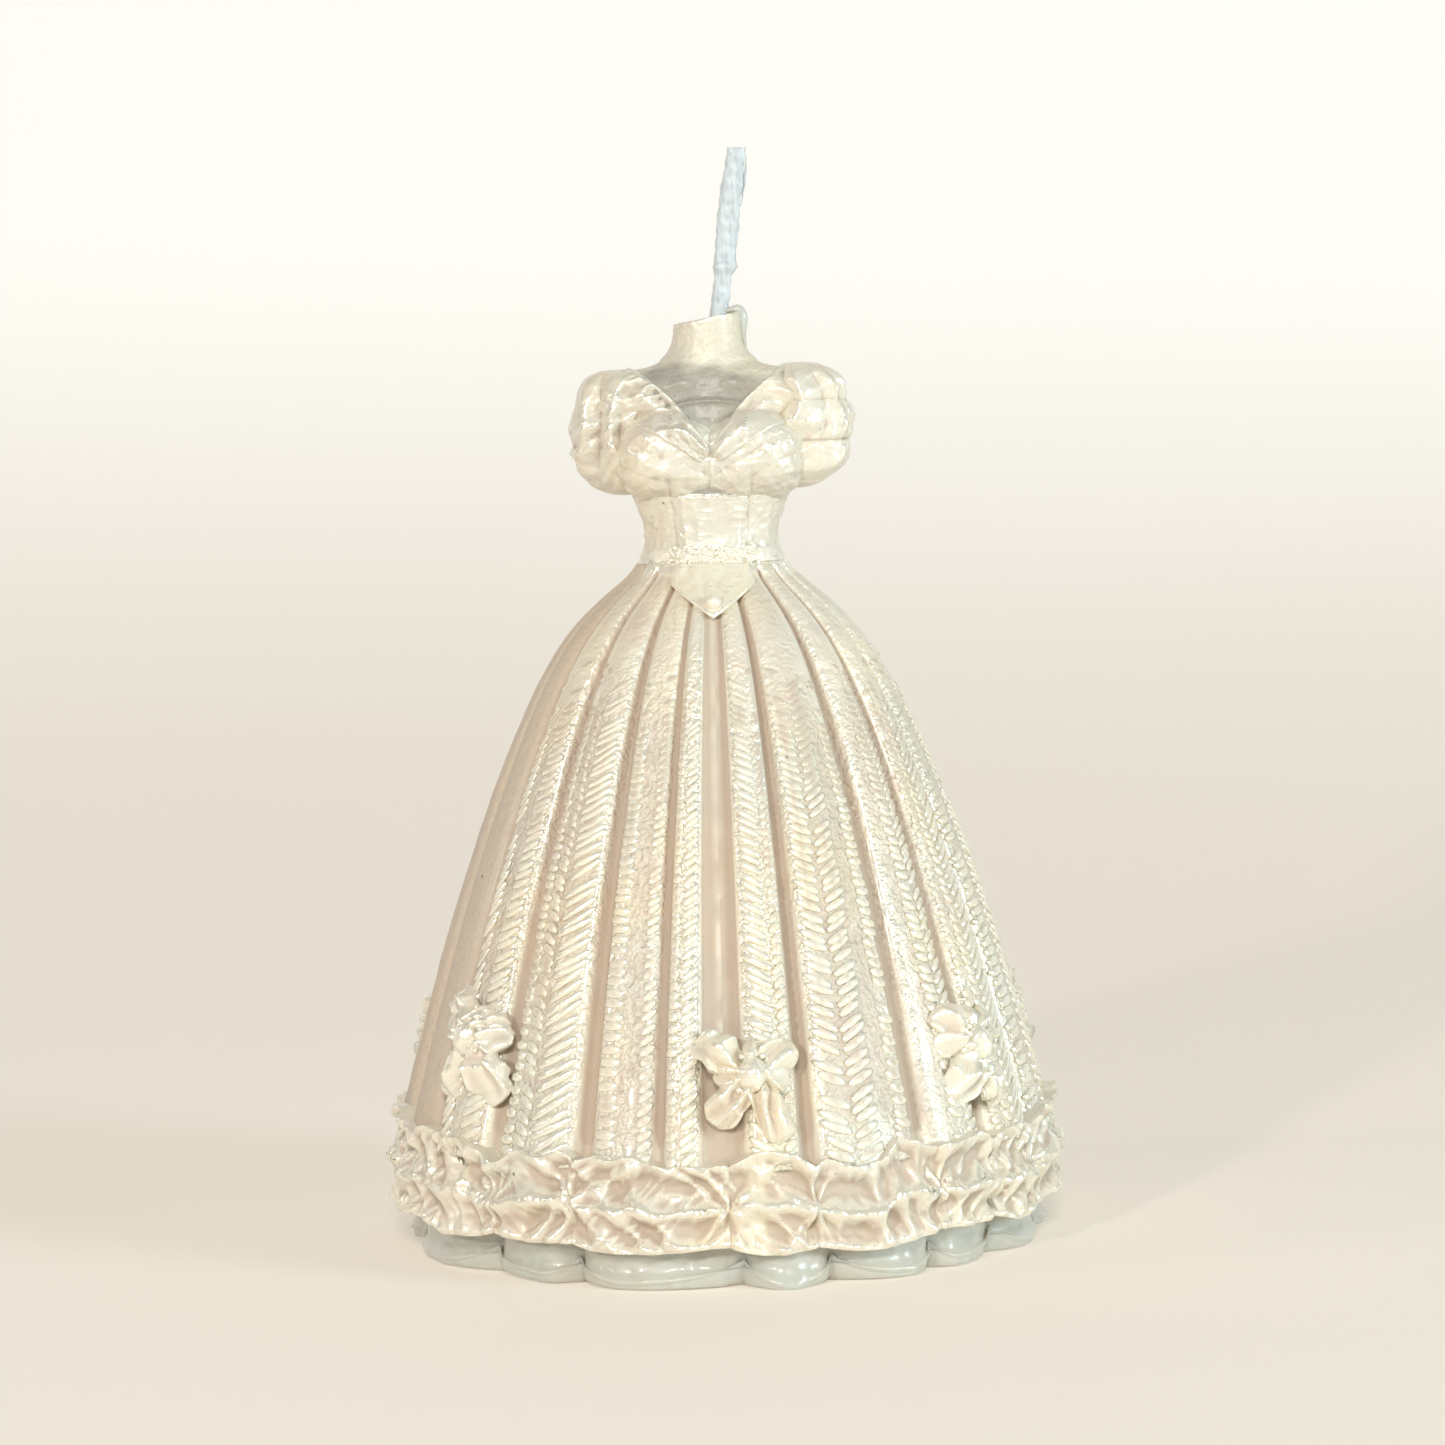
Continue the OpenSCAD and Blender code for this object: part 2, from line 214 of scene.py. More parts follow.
def wander(x, y, z, size, seed=0):
    """Smooth random values from -1 to 1 that change over about size."""
    places = [np.asarray(c, float) / size + 97.3 for c in np.broadcast_arrays(x, y, z)]
    cells = [np.floor(c).astype(np.int64) for c in places]
    shares = [c - b for c, b in zip(places, cells)]
    shares = [s * s * (3 - 2 * s) for s in shares]
    total = np.zeros(places[0].shape)
    for corner in range(8):
        bits = [corner >> k & 1 for k in range(3)]
        mixed = seed * 144665 + sum((b + d) * m for b, d, m in zip(cells, bits, SCATTER))
        mixed = (mixed ^ (mixed >> 13)) * 1274126177 % (1 << 40)
        mixed = mixed ^ (mixed >> 16)
        weight = np.ones(places[0].shape)
        for s, d in zip(shares, bits):
            weight = weight * (s if d else 1 - s)
        total += weight * ((mixed & 0xFFFF) / 32767.5 - 1)
    return total


def creases(x, y, z, size, seed=0):
    """Sharp random ridges from 0 to 1, at two sizes, as in crushed satin."""
    first = 1 - np.abs(wander(x, y, z, size, seed)) * 1.6
    second = 1 - np.abs(wander(x, y, z, size * 0.5, seed + 7)) * 1.6
    return np.clip(first, 0, 1) * 0.7 + np.clip(second, 0, 1) * 0.3


def folded(across, along, size, seed=0):
    """Flat facets that meet in sharp folds about size apart, from 0 to 1, as in folded satin."""
    place = np.asarray(across, float) / size + 1.1 * wander(across, along, 0, size * 1.5, seed)
    return 2 * np.abs(place - np.floor(place + 0.5))


def ease(value, start, end):
    """From 0 at start to 1 at end, smoothly."""
    share = np.clip((np.asarray(value, float) - start) / (end - start), 0, 1)
    return share * share * (3 - 2 * share)


def through(value, places, heights):
    """A smooth curve through the given points."""
    places, heights = np.asarray(places, float), np.asarray(heights, float)
    slopes = np.gradient(heights, places)
    k = np.clip(np.searchsorted(places, value, side="right") - 1, 0, len(places) - 2)
    span = places[k + 1] - places[k]
    t = np.clip((value - places[k]) / span, 0, 1)
    rise = heights[k + 1] - heights[k]
    bend_in, bend_out = slopes[k] * span - rise, rise - slopes[k + 1] * span
    return heights[k] + t * rise + t * (1 - t) * (bend_in * (1 - t) + bend_out * t)


def blunt(value, power):
    """A sine or cosine made squarer."""
    return np.sign(value) * np.abs(value) ** power


def turn(degrees, radius, ratio=1.0):
    """X and Y of a point at a direction from the front and a distance from the axis."""
    a = np.radians(degrees)
    return radius * np.sin(a), -radius * ratio * np.cos(a)


def pushed_out(x, y, lift):
    """A point moved away from the axis by lift."""
    grown = 1 + lift / np.maximum(np.hypot(x, y), 0.1)
    return x * grown, y * grown


# ---- modelling ----


def deselect_all():
    """Deselects every object."""
    for thing in bpy.context.scene.objects:
        thing.select_set(False)


def finish_mesh(piece):
    """Closes seams and poles and turns the faces outwards."""
    bpy.context.view_layer.objects.active = piece
    bpy.ops.object.mode_set(mode="EDIT")
    bpy.ops.mesh.select_all(action="SELECT")
    bpy.ops.mesh.remove_doubles(threshold=1e-6)
    bpy.ops.mesh.normals_make_consistent(inside=False)
    bpy.ops.object.mode_set(mode="OBJECT")
    bpy.ops.object.shade_smooth()


def shaped_grid(name, columns, rows, where):
    """A primitive grid moved to where(u, v), with u and v from 0 to 1, then closed and turned outwards."""
    deselect_all()
    bpy.ops.mesh.primitive_grid_add(x_subdivisions=columns, y_subdivisions=rows, size=1)
    piece = bpy.context.object
    piece.name = piece.data.name = name
    flat = np.empty(len(piece.data.vertices) * 3)
    piece.data.vertices.foreach_get("co", flat)
    u = np.round((flat[0::3] + 0.5) * columns) / columns
    v = np.round((flat[1::3] + 0.5) * rows) / rows
    x, y, z = np.broadcast_arrays(*where(u, v))
    piece.data.vertices.foreach_set("co", (np.stack([x, y, z], 1) * MM).ravel())
    finish_mesh(piece)
    return piece


def repeated(name, rings, segments, places):
    """A small sphere, modelled once and copied: places(grain) gives the points of every copy."""
    deselect_all()
    bpy.ops.mesh.primitive_uv_sphere_add(segments=segments, ring_count=rings, radius=1)
    piece = bpy.context.object
    piece.name = piece.data.name = name
    grain = np.array([v.co for v in piece.data.vertices], float)
    faces = [tuple(p.vertices) for p in piece.data.polygons]
    points = places(grain)
    copies = len(points) // len(grain)
    every = [tuple(i + k * len(grain) for i in face) for k in range(copies) for face in faces]
    piece.data.clear_geometry()
    piece.data.from_pydata((points * MM).tolist(), [], every)
    piece.data.update()
    finish_mesh(piece)
    return piece


def joined(name, pieces):
    """Joins pieces into one object."""
    deselect_all()
    for piece in pieces:
        piece.select_set(True)
    bpy.context.view_layer.objects.active = pieces[0]
    bpy.ops.object.join()
    pieces[0].name = pieces[0].data.name = name
    finish_mesh(pieces[0])
    return pieces[0]


def points_of(piece):
    """The points of a piece, in millimetres."""
    flat = np.empty(len(piece.data.vertices) * 3)
    piece.data.vertices.foreach_get("co", flat)
    return flat.reshape(-1, 3) / MM


def hollows_of(piece):
    """How hollow the wax is at each point of a piece."""
    marks = piece.data.attributes["hollow"].data
    hollow = np.empty(len(marks))
    marks.foreach_get("value", hollow)
    return hollow


def write_marks(piece, name, values):
    """Writes one number for each point of a piece, for its finish to read."""
    marks = piece.data.attributes.get(name) or piece.data.attributes.new(name, "FLOAT", "POINT")
    marks.data.foreach_set("value", np.asarray(values, np.float32))


def mark_hollows(piece, reach, deep):
    """Writes how far each point lies below the wax round it: 0 on a crest, 0.5 on a flat, 1 in a hollow. The
    finish paints shade in the hollows and a highlight on the crests from these marks.
    """
    mesh = piece.data
    count = len(mesh.vertices)
    normals, ends = np.empty(count * 3), np.empty(len(mesh.edges) * 2, np.int32)
    mesh.vertices.foreach_get("normal", normals)
    mesh.edges.foreach_get("vertices", ends)
    here, normals = points_of(piece), normals.reshape(-1, 3)
    first, second = ends[0::2], ends[1::2]
    neighbours = np.maximum(np.bincount(ends, minlength=count), 1)[:, None]
    level, hollow = here.copy(), np.zeros(count)
    for step in range(1, reach + 1):
        total = [
            np.bincount(first, level[second, k], count) + np.bincount(second, level[first, k], count)
            for k in range(3)
        ]
        level = np.stack(total, 1) / neighbours
        if step in (max(reach // 12, 1), reach):
            depth = np.sum((level - here) * normals, 1) / (deep if step == reach else deep / 5)
            hollow += np.clip(depth - np.median(depth), -1, 1) * 0.25
    write_marks(piece, "hollow", hollow + 0.5)


def settle(piece, material, *nodes, slot="pearl_wax", reach=24, deep=0.5):
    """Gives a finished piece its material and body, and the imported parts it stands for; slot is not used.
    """
    mark_hollows(piece, reach, deep)
    piece.data.materials.clear()
    piece.data.materials.append(material)
    if nodes:
        piece.name = piece.data.name = f"{nodes[0]}_shown"
        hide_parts(*nodes)
    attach(piece, "root")


# ---- shader maths ----


class Value:
    """A shader socket that takes part in Python expressions."""

    def __init__(self, nodes, socket):
        self.nodes, self.socket = nodes, socket

    def _math(self, operation, first, second=None):
        inputs = [first] if second is None else [first, second]
        return self.nodes.add("ShaderNodeMath", {"operation": operation}, dict(enumerate(inputs)))

    def __add__(self, other):
        return self._math("ADD", self, other)

    def __radd__(self, other):
        return self._math("ADD", other, self)

    def __sub__(self, other):
        return self._math("SUBTRACT", self, other)

    def __mul__(self, other):
        return self._math("MULTIPLY", self, other)

    def __rmul__(self, other):
        return self._math("MULTIPLY", other, self)

    def __abs__(self):
        return self._math("ABSOLUTE", self)

    def between(self, start, end):
        """From 0 at start to 1 at end, smoothly."""
        settings, sockets = {"interpolation_type": "SMOOTHSTEP"}, {0: self, 1: start, 2: end, 3: 0.0, 4: 1.0}
        return self.nodes.add("ShaderNodeMapRange", settings, sockets)


class Nodes:
    """A material's nodes."""

    def __init__(self, name):
        self.material = bpy.data.materials.new(name)
        self.material.use_nodes = True
        self.tree = self.material.node_tree
        self.tree.nodes.clear()

    def add(self, kind, settings, sockets, output=0):
        """One node: its settings first, then its sockets' values or links. Returns one of its outputs."""
        node = self.tree.nodes.new(kind)
        for key, value in settings.items():
            setattr(node, key, value)
        for key, value in sockets.items():
            if isinstance(value, Value):
                self.tree.links.new(value.socket, node.inputs[key])
            else:
                node.inputs[key].default_value = value
        return Value(self, node.outputs[output]) if len(node.outputs) else None

    def place(self):
        return self.add("ShaderNodeTexCoord", {}, {}, output="Object")

    def noise(self, scale, detail=2.0, roughness=0.5, vector=None):
        """Noise whose grains are about 1/scale metres across."""
        sockets = {"Vector": vector or self.place(), "Scale": scale, "Detail": detail, "Roughness": roughness}
        return self.add("ShaderNodeTexNoise", {}, sockets)

    def mix(self, factor, first, second, blend="MIX"):
        """A mix of two colours."""
        settings = {"data_type": "RGBA", "blend_type": blend}
        return self.add("ShaderNodeMix", settings, {0: factor, 6: first, 7: second}, output=2)

    def bump(self, height, distance, strength):
        """Relief for a Normal socket."""
        return self.add("ShaderNodeBump", {}, {"Height": height, "Distance": distance, "Strength": strength})

    def surface(self, sockets):
        """The Principled shader and the output."""
        shader = self.add("ShaderNodeBsdfPrincipled", {}, sockets)
        self.add("ShaderNodeOutputMaterial", {}, {"Surface": shader})
        return self.material


def scaled(colour, factor):
    """A colour made lighter or darker."""
    return tuple(min(1.0, c * factor) for c in colour[:3]) + (1.0,)


# ---- finishes ----

_finishes = {}


def finish(name, make):
    """Makes each finish once."""
    if name not in _finishes:
        _finishes[name] = make()
    return _finishes[name]


def pearl_wax(name="pearl_wax", stipple=0.0, shine=0.0, tone=1.0, shade_in_hollows=0.6, back=1.0):
    """Ivory wax under a pearl glaze, with painted shade that makes it brown in the hollows, where it is also
    dull, and a painted highlight that makes it bright on the crests.

    tone is how light the front is, and back how light the neck and the back are.
    """

    def make():
        colour = tuple(bpy.context.scene.wax_colours.pearl)
        nodes = Nodes(name)
        hollow = nodes.add("ShaderNodeAttribute", {"attribute_name": "hollow"}, {}, output="Fac")
        pressed = nodes.add("ShaderNodeAttribute", {"attribute_name": "pressed"}, {}, output="Fac")
        deep, proud = (hollow + 0.15 * pressed).between(0.50, 0.86), hollow.between(0.52, 0.20)
        cloud = nodes.noise(95.0, 3.0)
        warm = nodes.mix(cloud.between(0.40, 0.66), colour, (0.84, 0.77, 0.62, 1))
        rosy = nodes.mix(nodes.noise(150.0, 2.0).between(0.52, 0.72) * 0.6, warm, (0.77, 0.66, 0.58, 1))
        cool = nodes.mix(nodes.noise(60.0).between(0.50, 0.72) * 0.4, rosy, (0.76, 0.79, 0.72, 1))
        # Painted highlight: a pale colour on the crests. Painted shade: brown in the hollows and in the
        # strips the lace is pressed into.
        crest_highlight = nodes.mix(proud * 0.75, cool, (0.94, 0.91, 0.80, 1))
        hollow_shaded = nodes.mix(deep * shade_in_hollows, crest_highlight, (0.50, 0.40, 0.32, 1))
        spots = nodes.add(
            "ShaderNodeTexVoronoi", {}, {"Vector": nodes.place(), "Scale": 210.0}, output="Distance"
        ).between(0.06, 0.03)
        soot = spots * nodes.noise(60.0, 0.0).between(0.60, 0.64)
        rise = nodes.add("ShaderNodeSeparateXYZ", {}, {"Vector": nodes.place()}, output="Z")
        behind = nodes.add("ShaderNodeSeparateXYZ", {}, {"Vector": nodes.place()}, output="Y")
        above = (rise + 0.012 * (cloud - 0.5)).between((NECK_Z - 8) * MM, (NECK_Z - 4) * MM)
        away = (above + behind.between(-1 * MM, 2 * MM)).between(0, 1)
        tint = (tone, tone * 0.98, tone * 0.95, 1)
        if back != tone:
            tint = nodes.mix(away, tint, (back, back * 0.98, back * 0.93, 1))
        toned = nodes.mix(1.0, hollow_shaded, tint, "MULTIPLY")
        spotted = nodes.mix(soot * 0.8, toned, (0.12, 0.08, 0.05, 1))
        fine, grain = nodes.noise(2600.0, 2.0), nodes.noise(1300.0, 3.0, 0.6)
        facets, dimples = nodes.noise(420.0, 1.0), nodes.noise(850.0, 1.0)
        height = fine * (0.10 + stipple * 0.3) + grain * (0.22 + stipple) * (0.5 + 0.5 * proud)
        squiggle = abs(nodes.noise(780.0, 1.0) - 0.5) + abs(nodes.noise(1500.0, 1.0) - 0.5) * 0.6
        height = height + facets * 0.6 + dimples * 0.4 - squiggle * pressed * 4.0
        return nodes.surface(
            {
                "Base Color": spotted,
                "Roughness": 0.33 + 0.14 * cloud - 0.12 * proud + 0.4 * deep - shine,
                "Metallic": 0.08 + 0.34 * proud,
                "IOR": 1.46,
                "Subsurface Weight": 0.16,
                "Subsurface Radius": (1.0, 0.62, 0.36),
                "Subsurface Scale": 0.0011,
                "Coat Weight": 0.30 + 0.5 * proud - 0.3 * deep,
                "Coat Roughness": max(0.05, 0.12 - shine),
                "Normal": nodes.bump(height, 0.00036, 0.65),
            }
        )

    return finish(name, make)


def satin_wax():
    """Pearl wax cast from satin ribbon: smooth and bright."""
    return pearl_wax("pearl_satin", 0.1, 0.06, 1.05, 0.4)


def cloth_wax():
    """Pearl wax cast from the cloth of the bodice: finely stippled."""
    return pearl_wax("pearl_cloth", 0.3, 0.0, 0.90, 0.5)


def bare_wax():
    """Unglazed wax: greyer, clearer and duller than the pearl."""

    def make():
        colour = tuple(bpy.context.scene.wax_colours.plain)
        nodes = Nodes("bare_wax")
        cloud = nodes.noise(120.0, 3.0)
        tint = nodes.mix(cloud.between(0.35, 0.7), colour, (0.53, 0.545, 0.50, 1))
        grain = nodes.noise(900.0, 3.0, 0.6)
        normal = nodes.bump(grain * 0.4 + nodes.noise(300.0) * 0.6, 0.0003, 0.4)
        return nodes.surface(
            {
                "Base Color": tint,
                "Roughness": 0.24 + 0.16 * grain,
                "IOR": 1.44,
                "Subsurface Weight": 0.4,
                "Subsurface Radius": (1.0, 0.8, 0.6),
                "Subsurface Scale": 0.002,
                "Coat Weight": 0.4,
                "Coat Roughness": 0.12,
                "Normal": normal,
            }
        )

    return finish("bare_wax", make)


def primed_cotton():
    """Braided cotton stiff with clear wax: plaited strands under a waxy skin."""

    def make():
        colour = tuple(bpy.context.scene.wax_colours.cotton)
        nodes = Nodes("primed_cotton")
        place = nodes.place()
        fibres = nodes.add("ShaderNodeMapping", {}, {"Vector": place, "Scale": (1.0, 1.0, 0.12)})
        strands = nodes.noise(2600.0, 3.0, 0.6, fibres)
        tint = nodes.mix(strands.between(0.35, 0.65), scaled(colour, 0.84), scaled(colour, 1.08))
        plait = nodes.add(
            "ShaderNodeTexWave", {"wave_type": "BANDS", "bands_direction": "DIAGONAL"},
            {"Vector": place, "Scale": 420.0, "Distortion": 1.5, "Detail": 1.0}, output="Fac",
        )
        normal = nodes.bump(plait * 0.35 + strands * 0.65, 0.00025, 0.5)
        return nodes.surface(
            {
                "Base Color": tint,
                "Roughness": 0.42 + 0.2 * strands,
                "Subsurface Weight": 0.3,
                "Subsurface Radius": (1.0, 0.9, 0.8),
                "Subsurface Scale": 0.0008,
                "Coat Weight": 0.3,
                "Coat Roughness": 0.3,
                "Sheen Weight": 0.2,
                "Normal": normal,
            }
        )

    return finish("primed_cotton", make)


def tinned_sheet():
    """Pressed tinned steel with fine turning marks."""

    def make():
        nodes = Nodes("tinned_sheet")
        marks = nodes.add(
            "ShaderNodeTexWave", {"wave_type": "RINGS", "rings_direction": "Z"},
            {"Vector": nodes.place(), "Scale": 900.0, "Distortion": 1.0}, output="Fac",
        )
        tint = nodes.mix(nodes.noise(300.0), (0.62, 0.63, 0.65, 1), (0.76, 0.77, 0.79, 1))
        return nodes.surface(
            {
                "Base Color": tint,
                "Metallic": 1.0,
                "Roughness": 0.25 + 0.15 * marks,
                "Normal": nodes.bump(marks, 0.00005, 0.3),
            }
        )

    return finish("tinned_sheet", make)


# ---- the skirt's surface ----

# Valleys between the folds, in degrees from the front and going round to the right.
FOLD_EDGES = np.array([
    -62.4, -45, -25.5, -11, -3.7, 2.6, 14, 37, 52.5, 68, 85, 102,
    118, 135, 151, 168, 184, 200, 216, 233, 249, 265, 281,
])
# The sunken fold at the middle of the front.
PLAIN_GAP = 4
# Height at which the lace has worn away.
LACE_TOP = 66
FOLDS = len(FOLD_EDGES)
FLARE = 0.56
BOW_PLACES = np.array([5, 52, 110, 180, 250, 307])
BOW_HEIGHTS = 22.5 + np.array([0, 0.8, 0, 0, 0, 2.4])


def drop(z):
    """How far down the skirt a height is, from 0 at the waist to 1 at the hem."""
    return np.clip((WAIST_Z - np.asarray(z, float)) / (WAIST_Z - HEM_Z), 1e-9, None)


def crest_radius(z):
    """Distance from the axis to the crests of the folds."""
    down = drop(z)
    return WAIST_R + (HEM_R - WAIST_R) * down**FLARE - 140.0 * down * np.exp(-down / 0.035)


def fold_of(degrees):
    """Which fold a direction lies on, where on it from -1 to 1, and the fold's half-width in degrees."""
    edges = np.append(FOLD_EDGES, FOLD_EDGES[0] + 360)
    a = (np.asarray(degrees, float) - edges[0]) % 360 + edges[0]
    i = np.clip(np.searchsorted(edges, a, side="right") - 1, 0, FOLDS - 1)
    half = (edges[i + 1] - edges[i]) / 2
    return i, (a - edges[i]) / half - 1, half


def skirt_radius(degrees, z):
    """Distance from the axis to the skirt's surface, before it is flattened from front to back."""
    down = drop(z)
    ridge = crest_radius(z)
    fold, t, half = fold_of(degrees)
    deep = (1.4 + (bpy.context.scene.gown_sizes.fold_depth / MM - 1.4) * down**0.6) * ease(down, 0.0, 0.03)
    deep = deep * np.clip(half / 8.0, 0.5, 1.3) ** 0.5
    swell = np.sin(fold * 2.4 + 0.7) * 0.3 * down
    across = 0.46 * np.abs(t) ** 2.2 + 0.54 * ease(np.abs(t), 0.72, 0.93)
    floor = ridge - deep * 0.95 - 0.1 * t**2
    uneven = 0.14 * wander(fold * 9.0, 0, z, 9.0, 3) * down
    uneven = uneven + 0.06 * wander(np.asarray(degrees) * 0.5, z, 0, 2.0, 4)
    return np.where(fold == PLAIN_GAP, floor, ridge + swell - deep * across) + uneven


def flattening(z):
    """The skirt's front-to-back size as a share of its width."""
    return 1 - 0.18 * (1 - np.clip(drop(z), 0, 1) ** 0.4)


def skirt_point(degrees, z):
    """A point on the skirt's surface."""
    x, y = turn(degrees, skirt_radius(degrees, z), flattening(z))
    return np.stack([x, y, np.broadcast_to(z, x.shape)], -1)


def off_skirt(degrees, z, lift):
    """Points that stand off the skirt's surface by lift."""
    step_a, step_z = 0.15, 0.12
    here = skirt_point(degrees, z)
    round_way = skirt_point(degrees + step_a, z) - skirt_point(degrees - step_a, z)
    up_way = skirt_point(degrees, z + step_z) - skirt_point(degrees, z - step_z)
    normal = np.cross(round_way, up_way)
    normal /= np.linalg.norm(normal, axis=-1, keepdims=True)
    return here + normal * np.asarray(lift)[..., None]


class CANDLE_OT_skirt(bpy.types.Operator):
    """Add the pleated skirt, which is the body of the candle"""

    bl_idname = "candle.skirt"
    bl_label = "Skirt"

    def execute(self, context):
        # Distance from the axis and height of the plain foot, from the recess for the tab up to the folds.
        recess_r, recess_z = TAB_R + 0.05, TAB_Z + 0.3
        foot = [
            (0, recess_z), (recess_r, recess_z), (recess_r, 0), (FOOT_R, 0),
            (FOOT_R, SWAG_Z), (SEAT_R, SWAG_Z), (SEAT_R, HEM_Z - 2.6),
        ]
        plain_rows = len(foot)
        rows = 196

        def where(u, v):
            row = np.round(v * rows).astype(int)
            degrees = u * 360
            share = np.clip((row - plain_rows) / (rows - plain_rows - 1), 0, 1)
            z = HEM_Z - 2.2 + (WAIST_Z - HEM_Z + 2.2) * (1 - (1 - share) ** 1.25)
            points = skirt_point(degrees, z)
            foot_row = np.clip(row, 0, plain_rows - 1)
            r, low_z = np.array(foot)[foot_row].T
            low_x, low_y = turn(degrees, r)
            plain, top = row < plain_rows, row == rows
            x = np.where(plain, low_x, np.where(top, 0, points[:, 0]))
            y = np.where(plain, low_y, np.where(top, 0, points[:, 1]))
            return x, y, np.where(plain, low_z, points[:, 2])

        piece = shaped_grid("skirt", 460, rows, where)
        settle(piece, pearl_wax(shade_in_hollows=0.8), "skirt", reach=48, deep=0.6)
        # The strips that the lace is pressed into; the finish paints shade into them and gives them a
        # squiggled bump.
        x, y, z = points_of(piece).T
        fold, t, _ = fold_of(np.degrees(np.arctan2(x, -y)))
        gap = fold == PLAIN_GAP
        plain = np.isin(fold, PLAIN_FOLDS) & ~gap
        pressed = ease(np.abs(t), 0.80, 0.70) * (0.4 + 0.6 * ease(z, LACE_TOP, 54))
        write_marks(piece, "pressed", np.where(gap, 0, np.where(plain, 0.3, pressed)))
        # The foot below the folds makes them look like crests, which they are not, so near the hem the
        # valleys are given painted shade and the crests less painted highlight.
        least = np.where(gap, 0.80, np.where(np.abs(t) > 0.85, 0.75, 0.42)) * (z < HEM_Z + 6)
        # The plain folds are given painted shade all over, and no painted highlight.
        write_marks(piece, "hollow", np.maximum(hollows_of(piece), np.maximum(least, 0.72 * plain)))
        return {"FINISHED"}


# ---- pressed lace ----

# Each strip of a pattern: its two edges as shares of the fold's half-width, and how steeply its bars rise.
LACE_PATTERNS = {
    "slants": ((-0.72, -0.2, 1.1), (0.1, 0.70, 0.5)),
    "ladder_and_long_arms": ((-0.74, -0.44, 0.0), (-0.42, -0.10, -0.6), (-0.08, 0.72, 0.6)),
    "wide_ladder": ((-0.74, -0.16, 0.06), (0.34, 0.72, 0.5)),
    "ladder_and_arms": ((-0.76, -0.24, 0.05), (-0.18, 0.74, 0.6)),
    "left_arms": ((-0.74, 0.28, -0.6), (0.30, 0.74, 0.5)),
    "chevrons_and_ladder": ((-0.76, -0.28, -0.5), (-0.27, 0.20, 0.5), (0.44, 0.76, -0.35)),
    "right_chevrons": ((-0.20, 0.26, -0.5), (0.28, 0.74, 0.5)),
}
# The pattern of each fold, in the order of FOLD_EDGES.
FOLD_PATTERNS = (
    "slants", "ladder_and_long_arms", "wide_ladder", "ladder_and_arms", None, "left_arms",
    "chevrons_and_ladder", "right_chevrons", "ladder_and_long_arms", "wide_ladder", "left_arms", "slants",
    "right_chevrons", "ladder_and_arms", "ladder_and_long_arms", "wide_ladder", "left_arms",
    "chevrons_and_ladder", "ladder_and_arms", "right_chevrons", "wide_ladder", None, None,
)
PLAIN_FOLDS = [fold for fold, pattern in enumerate(FOLD_PATTERNS) if pattern is None]


def lace_bars(fold):
    """The bars of one fold's lace: direction, height, half-length, rise, strength and room to the next."""
    chance = np.random.default_rng(400 + fold)
    edges = np.append(FOLD_EDGES, FOLD_EDGES[0] + 360)
    middle, half = (edges[fold] + edges[fold + 1]) / 2, (edges[fold + 1] - edges[fold]) / 2
    pitch = bpy.context.scene.gown_sizes.lace_pitch / MM
    bars = []
    for start, end, rise in LACE_PATTERNS[FOLD_PATTERNS[fold]]:
        count = int((LACE_TOP - HEM_Z) / pitch)
        share = np.arange(count) / count
        # The bars are larger and further apart towards the hem.
        size = pitch * (1.3 - 0.6 * share)
        z = HEM_Z - 1 + (LACE_TOP - HEM_Z) * share * (1.3 - 0.3 * share)
        z = z + 0.2 * size * chance.uniform(-1, 1, count)
        a = middle + half * ((start + end) / 2 + 0.03 * chance.uniform(-1, 1, count))
        length = crest_radius(z) * math.radians(half) * (end - start) / 2
        length = length * chance.uniform(0.86, 1.05, count)
        worn = 0.5 + 0.5 * wander(fold * 5.0, start * 9, z, 5.0, 11)
        strength = np.clip(0.45 + 0.85 * worn, 0.3, 1) * (0.35 + 0.65 * ease(z, 64, 40))
        lean = rise + 0.12 * chance.uniform(-1, 1, count)
        keep = chance.uniform(0, 1, count) > 0.03 + 0.8 * ease(z + 3 * worn, 57, 68)
        bars += list(zip(a[keep], z[keep], length[keep], lean[keep], strength[keep], size[keep]))
    return bars


class CANDLE_OT_lace(bpy.types.Operator):
    """Add the herringbone lace that is pressed into the skirt's folds"""

    bl_idname = "candle.lace"
    bl_label = "Lace"

    def execute(self, context):
        stand = context.scene.gown_sizes.lace_height / MM
        for fold in range(FOLDS):
            if FOLD_PATTERNS[fold] is None:
                continue

            def places(grain, fold=fold):
                a, z, length, rise, strength, room = np.array(lace_bars(fold)).T[:, :, None]
                width = 0.50 * room
                along = blunt(grain[:, 0], 0.55)
                p = along * length
                q = blunt(grain[:, 1], 0.7) * width * (1 - 0.12 * along**4)
                q = q + p * rise + 0.15 * np.sin(3 * along) * width
                off = grain[:, 2]
                lift = np.where(off > 0, blunt(off, 0.55) * stand, off * 0.1) * strength
                return off_skirt(a + np.degrees(p / crest_radius(z)), z + q * 0.93, lift).reshape(-1, 3)

            piece = repeated(f"lace_{fold + 1:02d}", 5, 8, places)
            settle(piece, pearl_wax("pearl_lace", 0.0, 0.05, 1.06, 0.7), reach=3, deep=0.25)
        return {"FINISHED"}


# ---- petticoat ----

# Edges of the petticoat's lobes, in degrees from the front.
LOBE_EDGES = np.array([-80, -48, -28, 3, 19, 40, 58, 80, 105, 128, 152, 177, 203, 228, 254])


def between_edges(degrees, edges):
    """Which of the spans round the candle a direction lies in, and where in it from 0 to 1."""
    ring = np.append(edges, edges[0] + 360)
    a = (degrees - ring[0]) % 360 + ring[0]
    i = np.clip(np.searchsorted(ring, a, side="right") - 1, 0, len(edges) - 1)
    return i, (a - ring[i]) / (ring[i + 1] - ring[i])


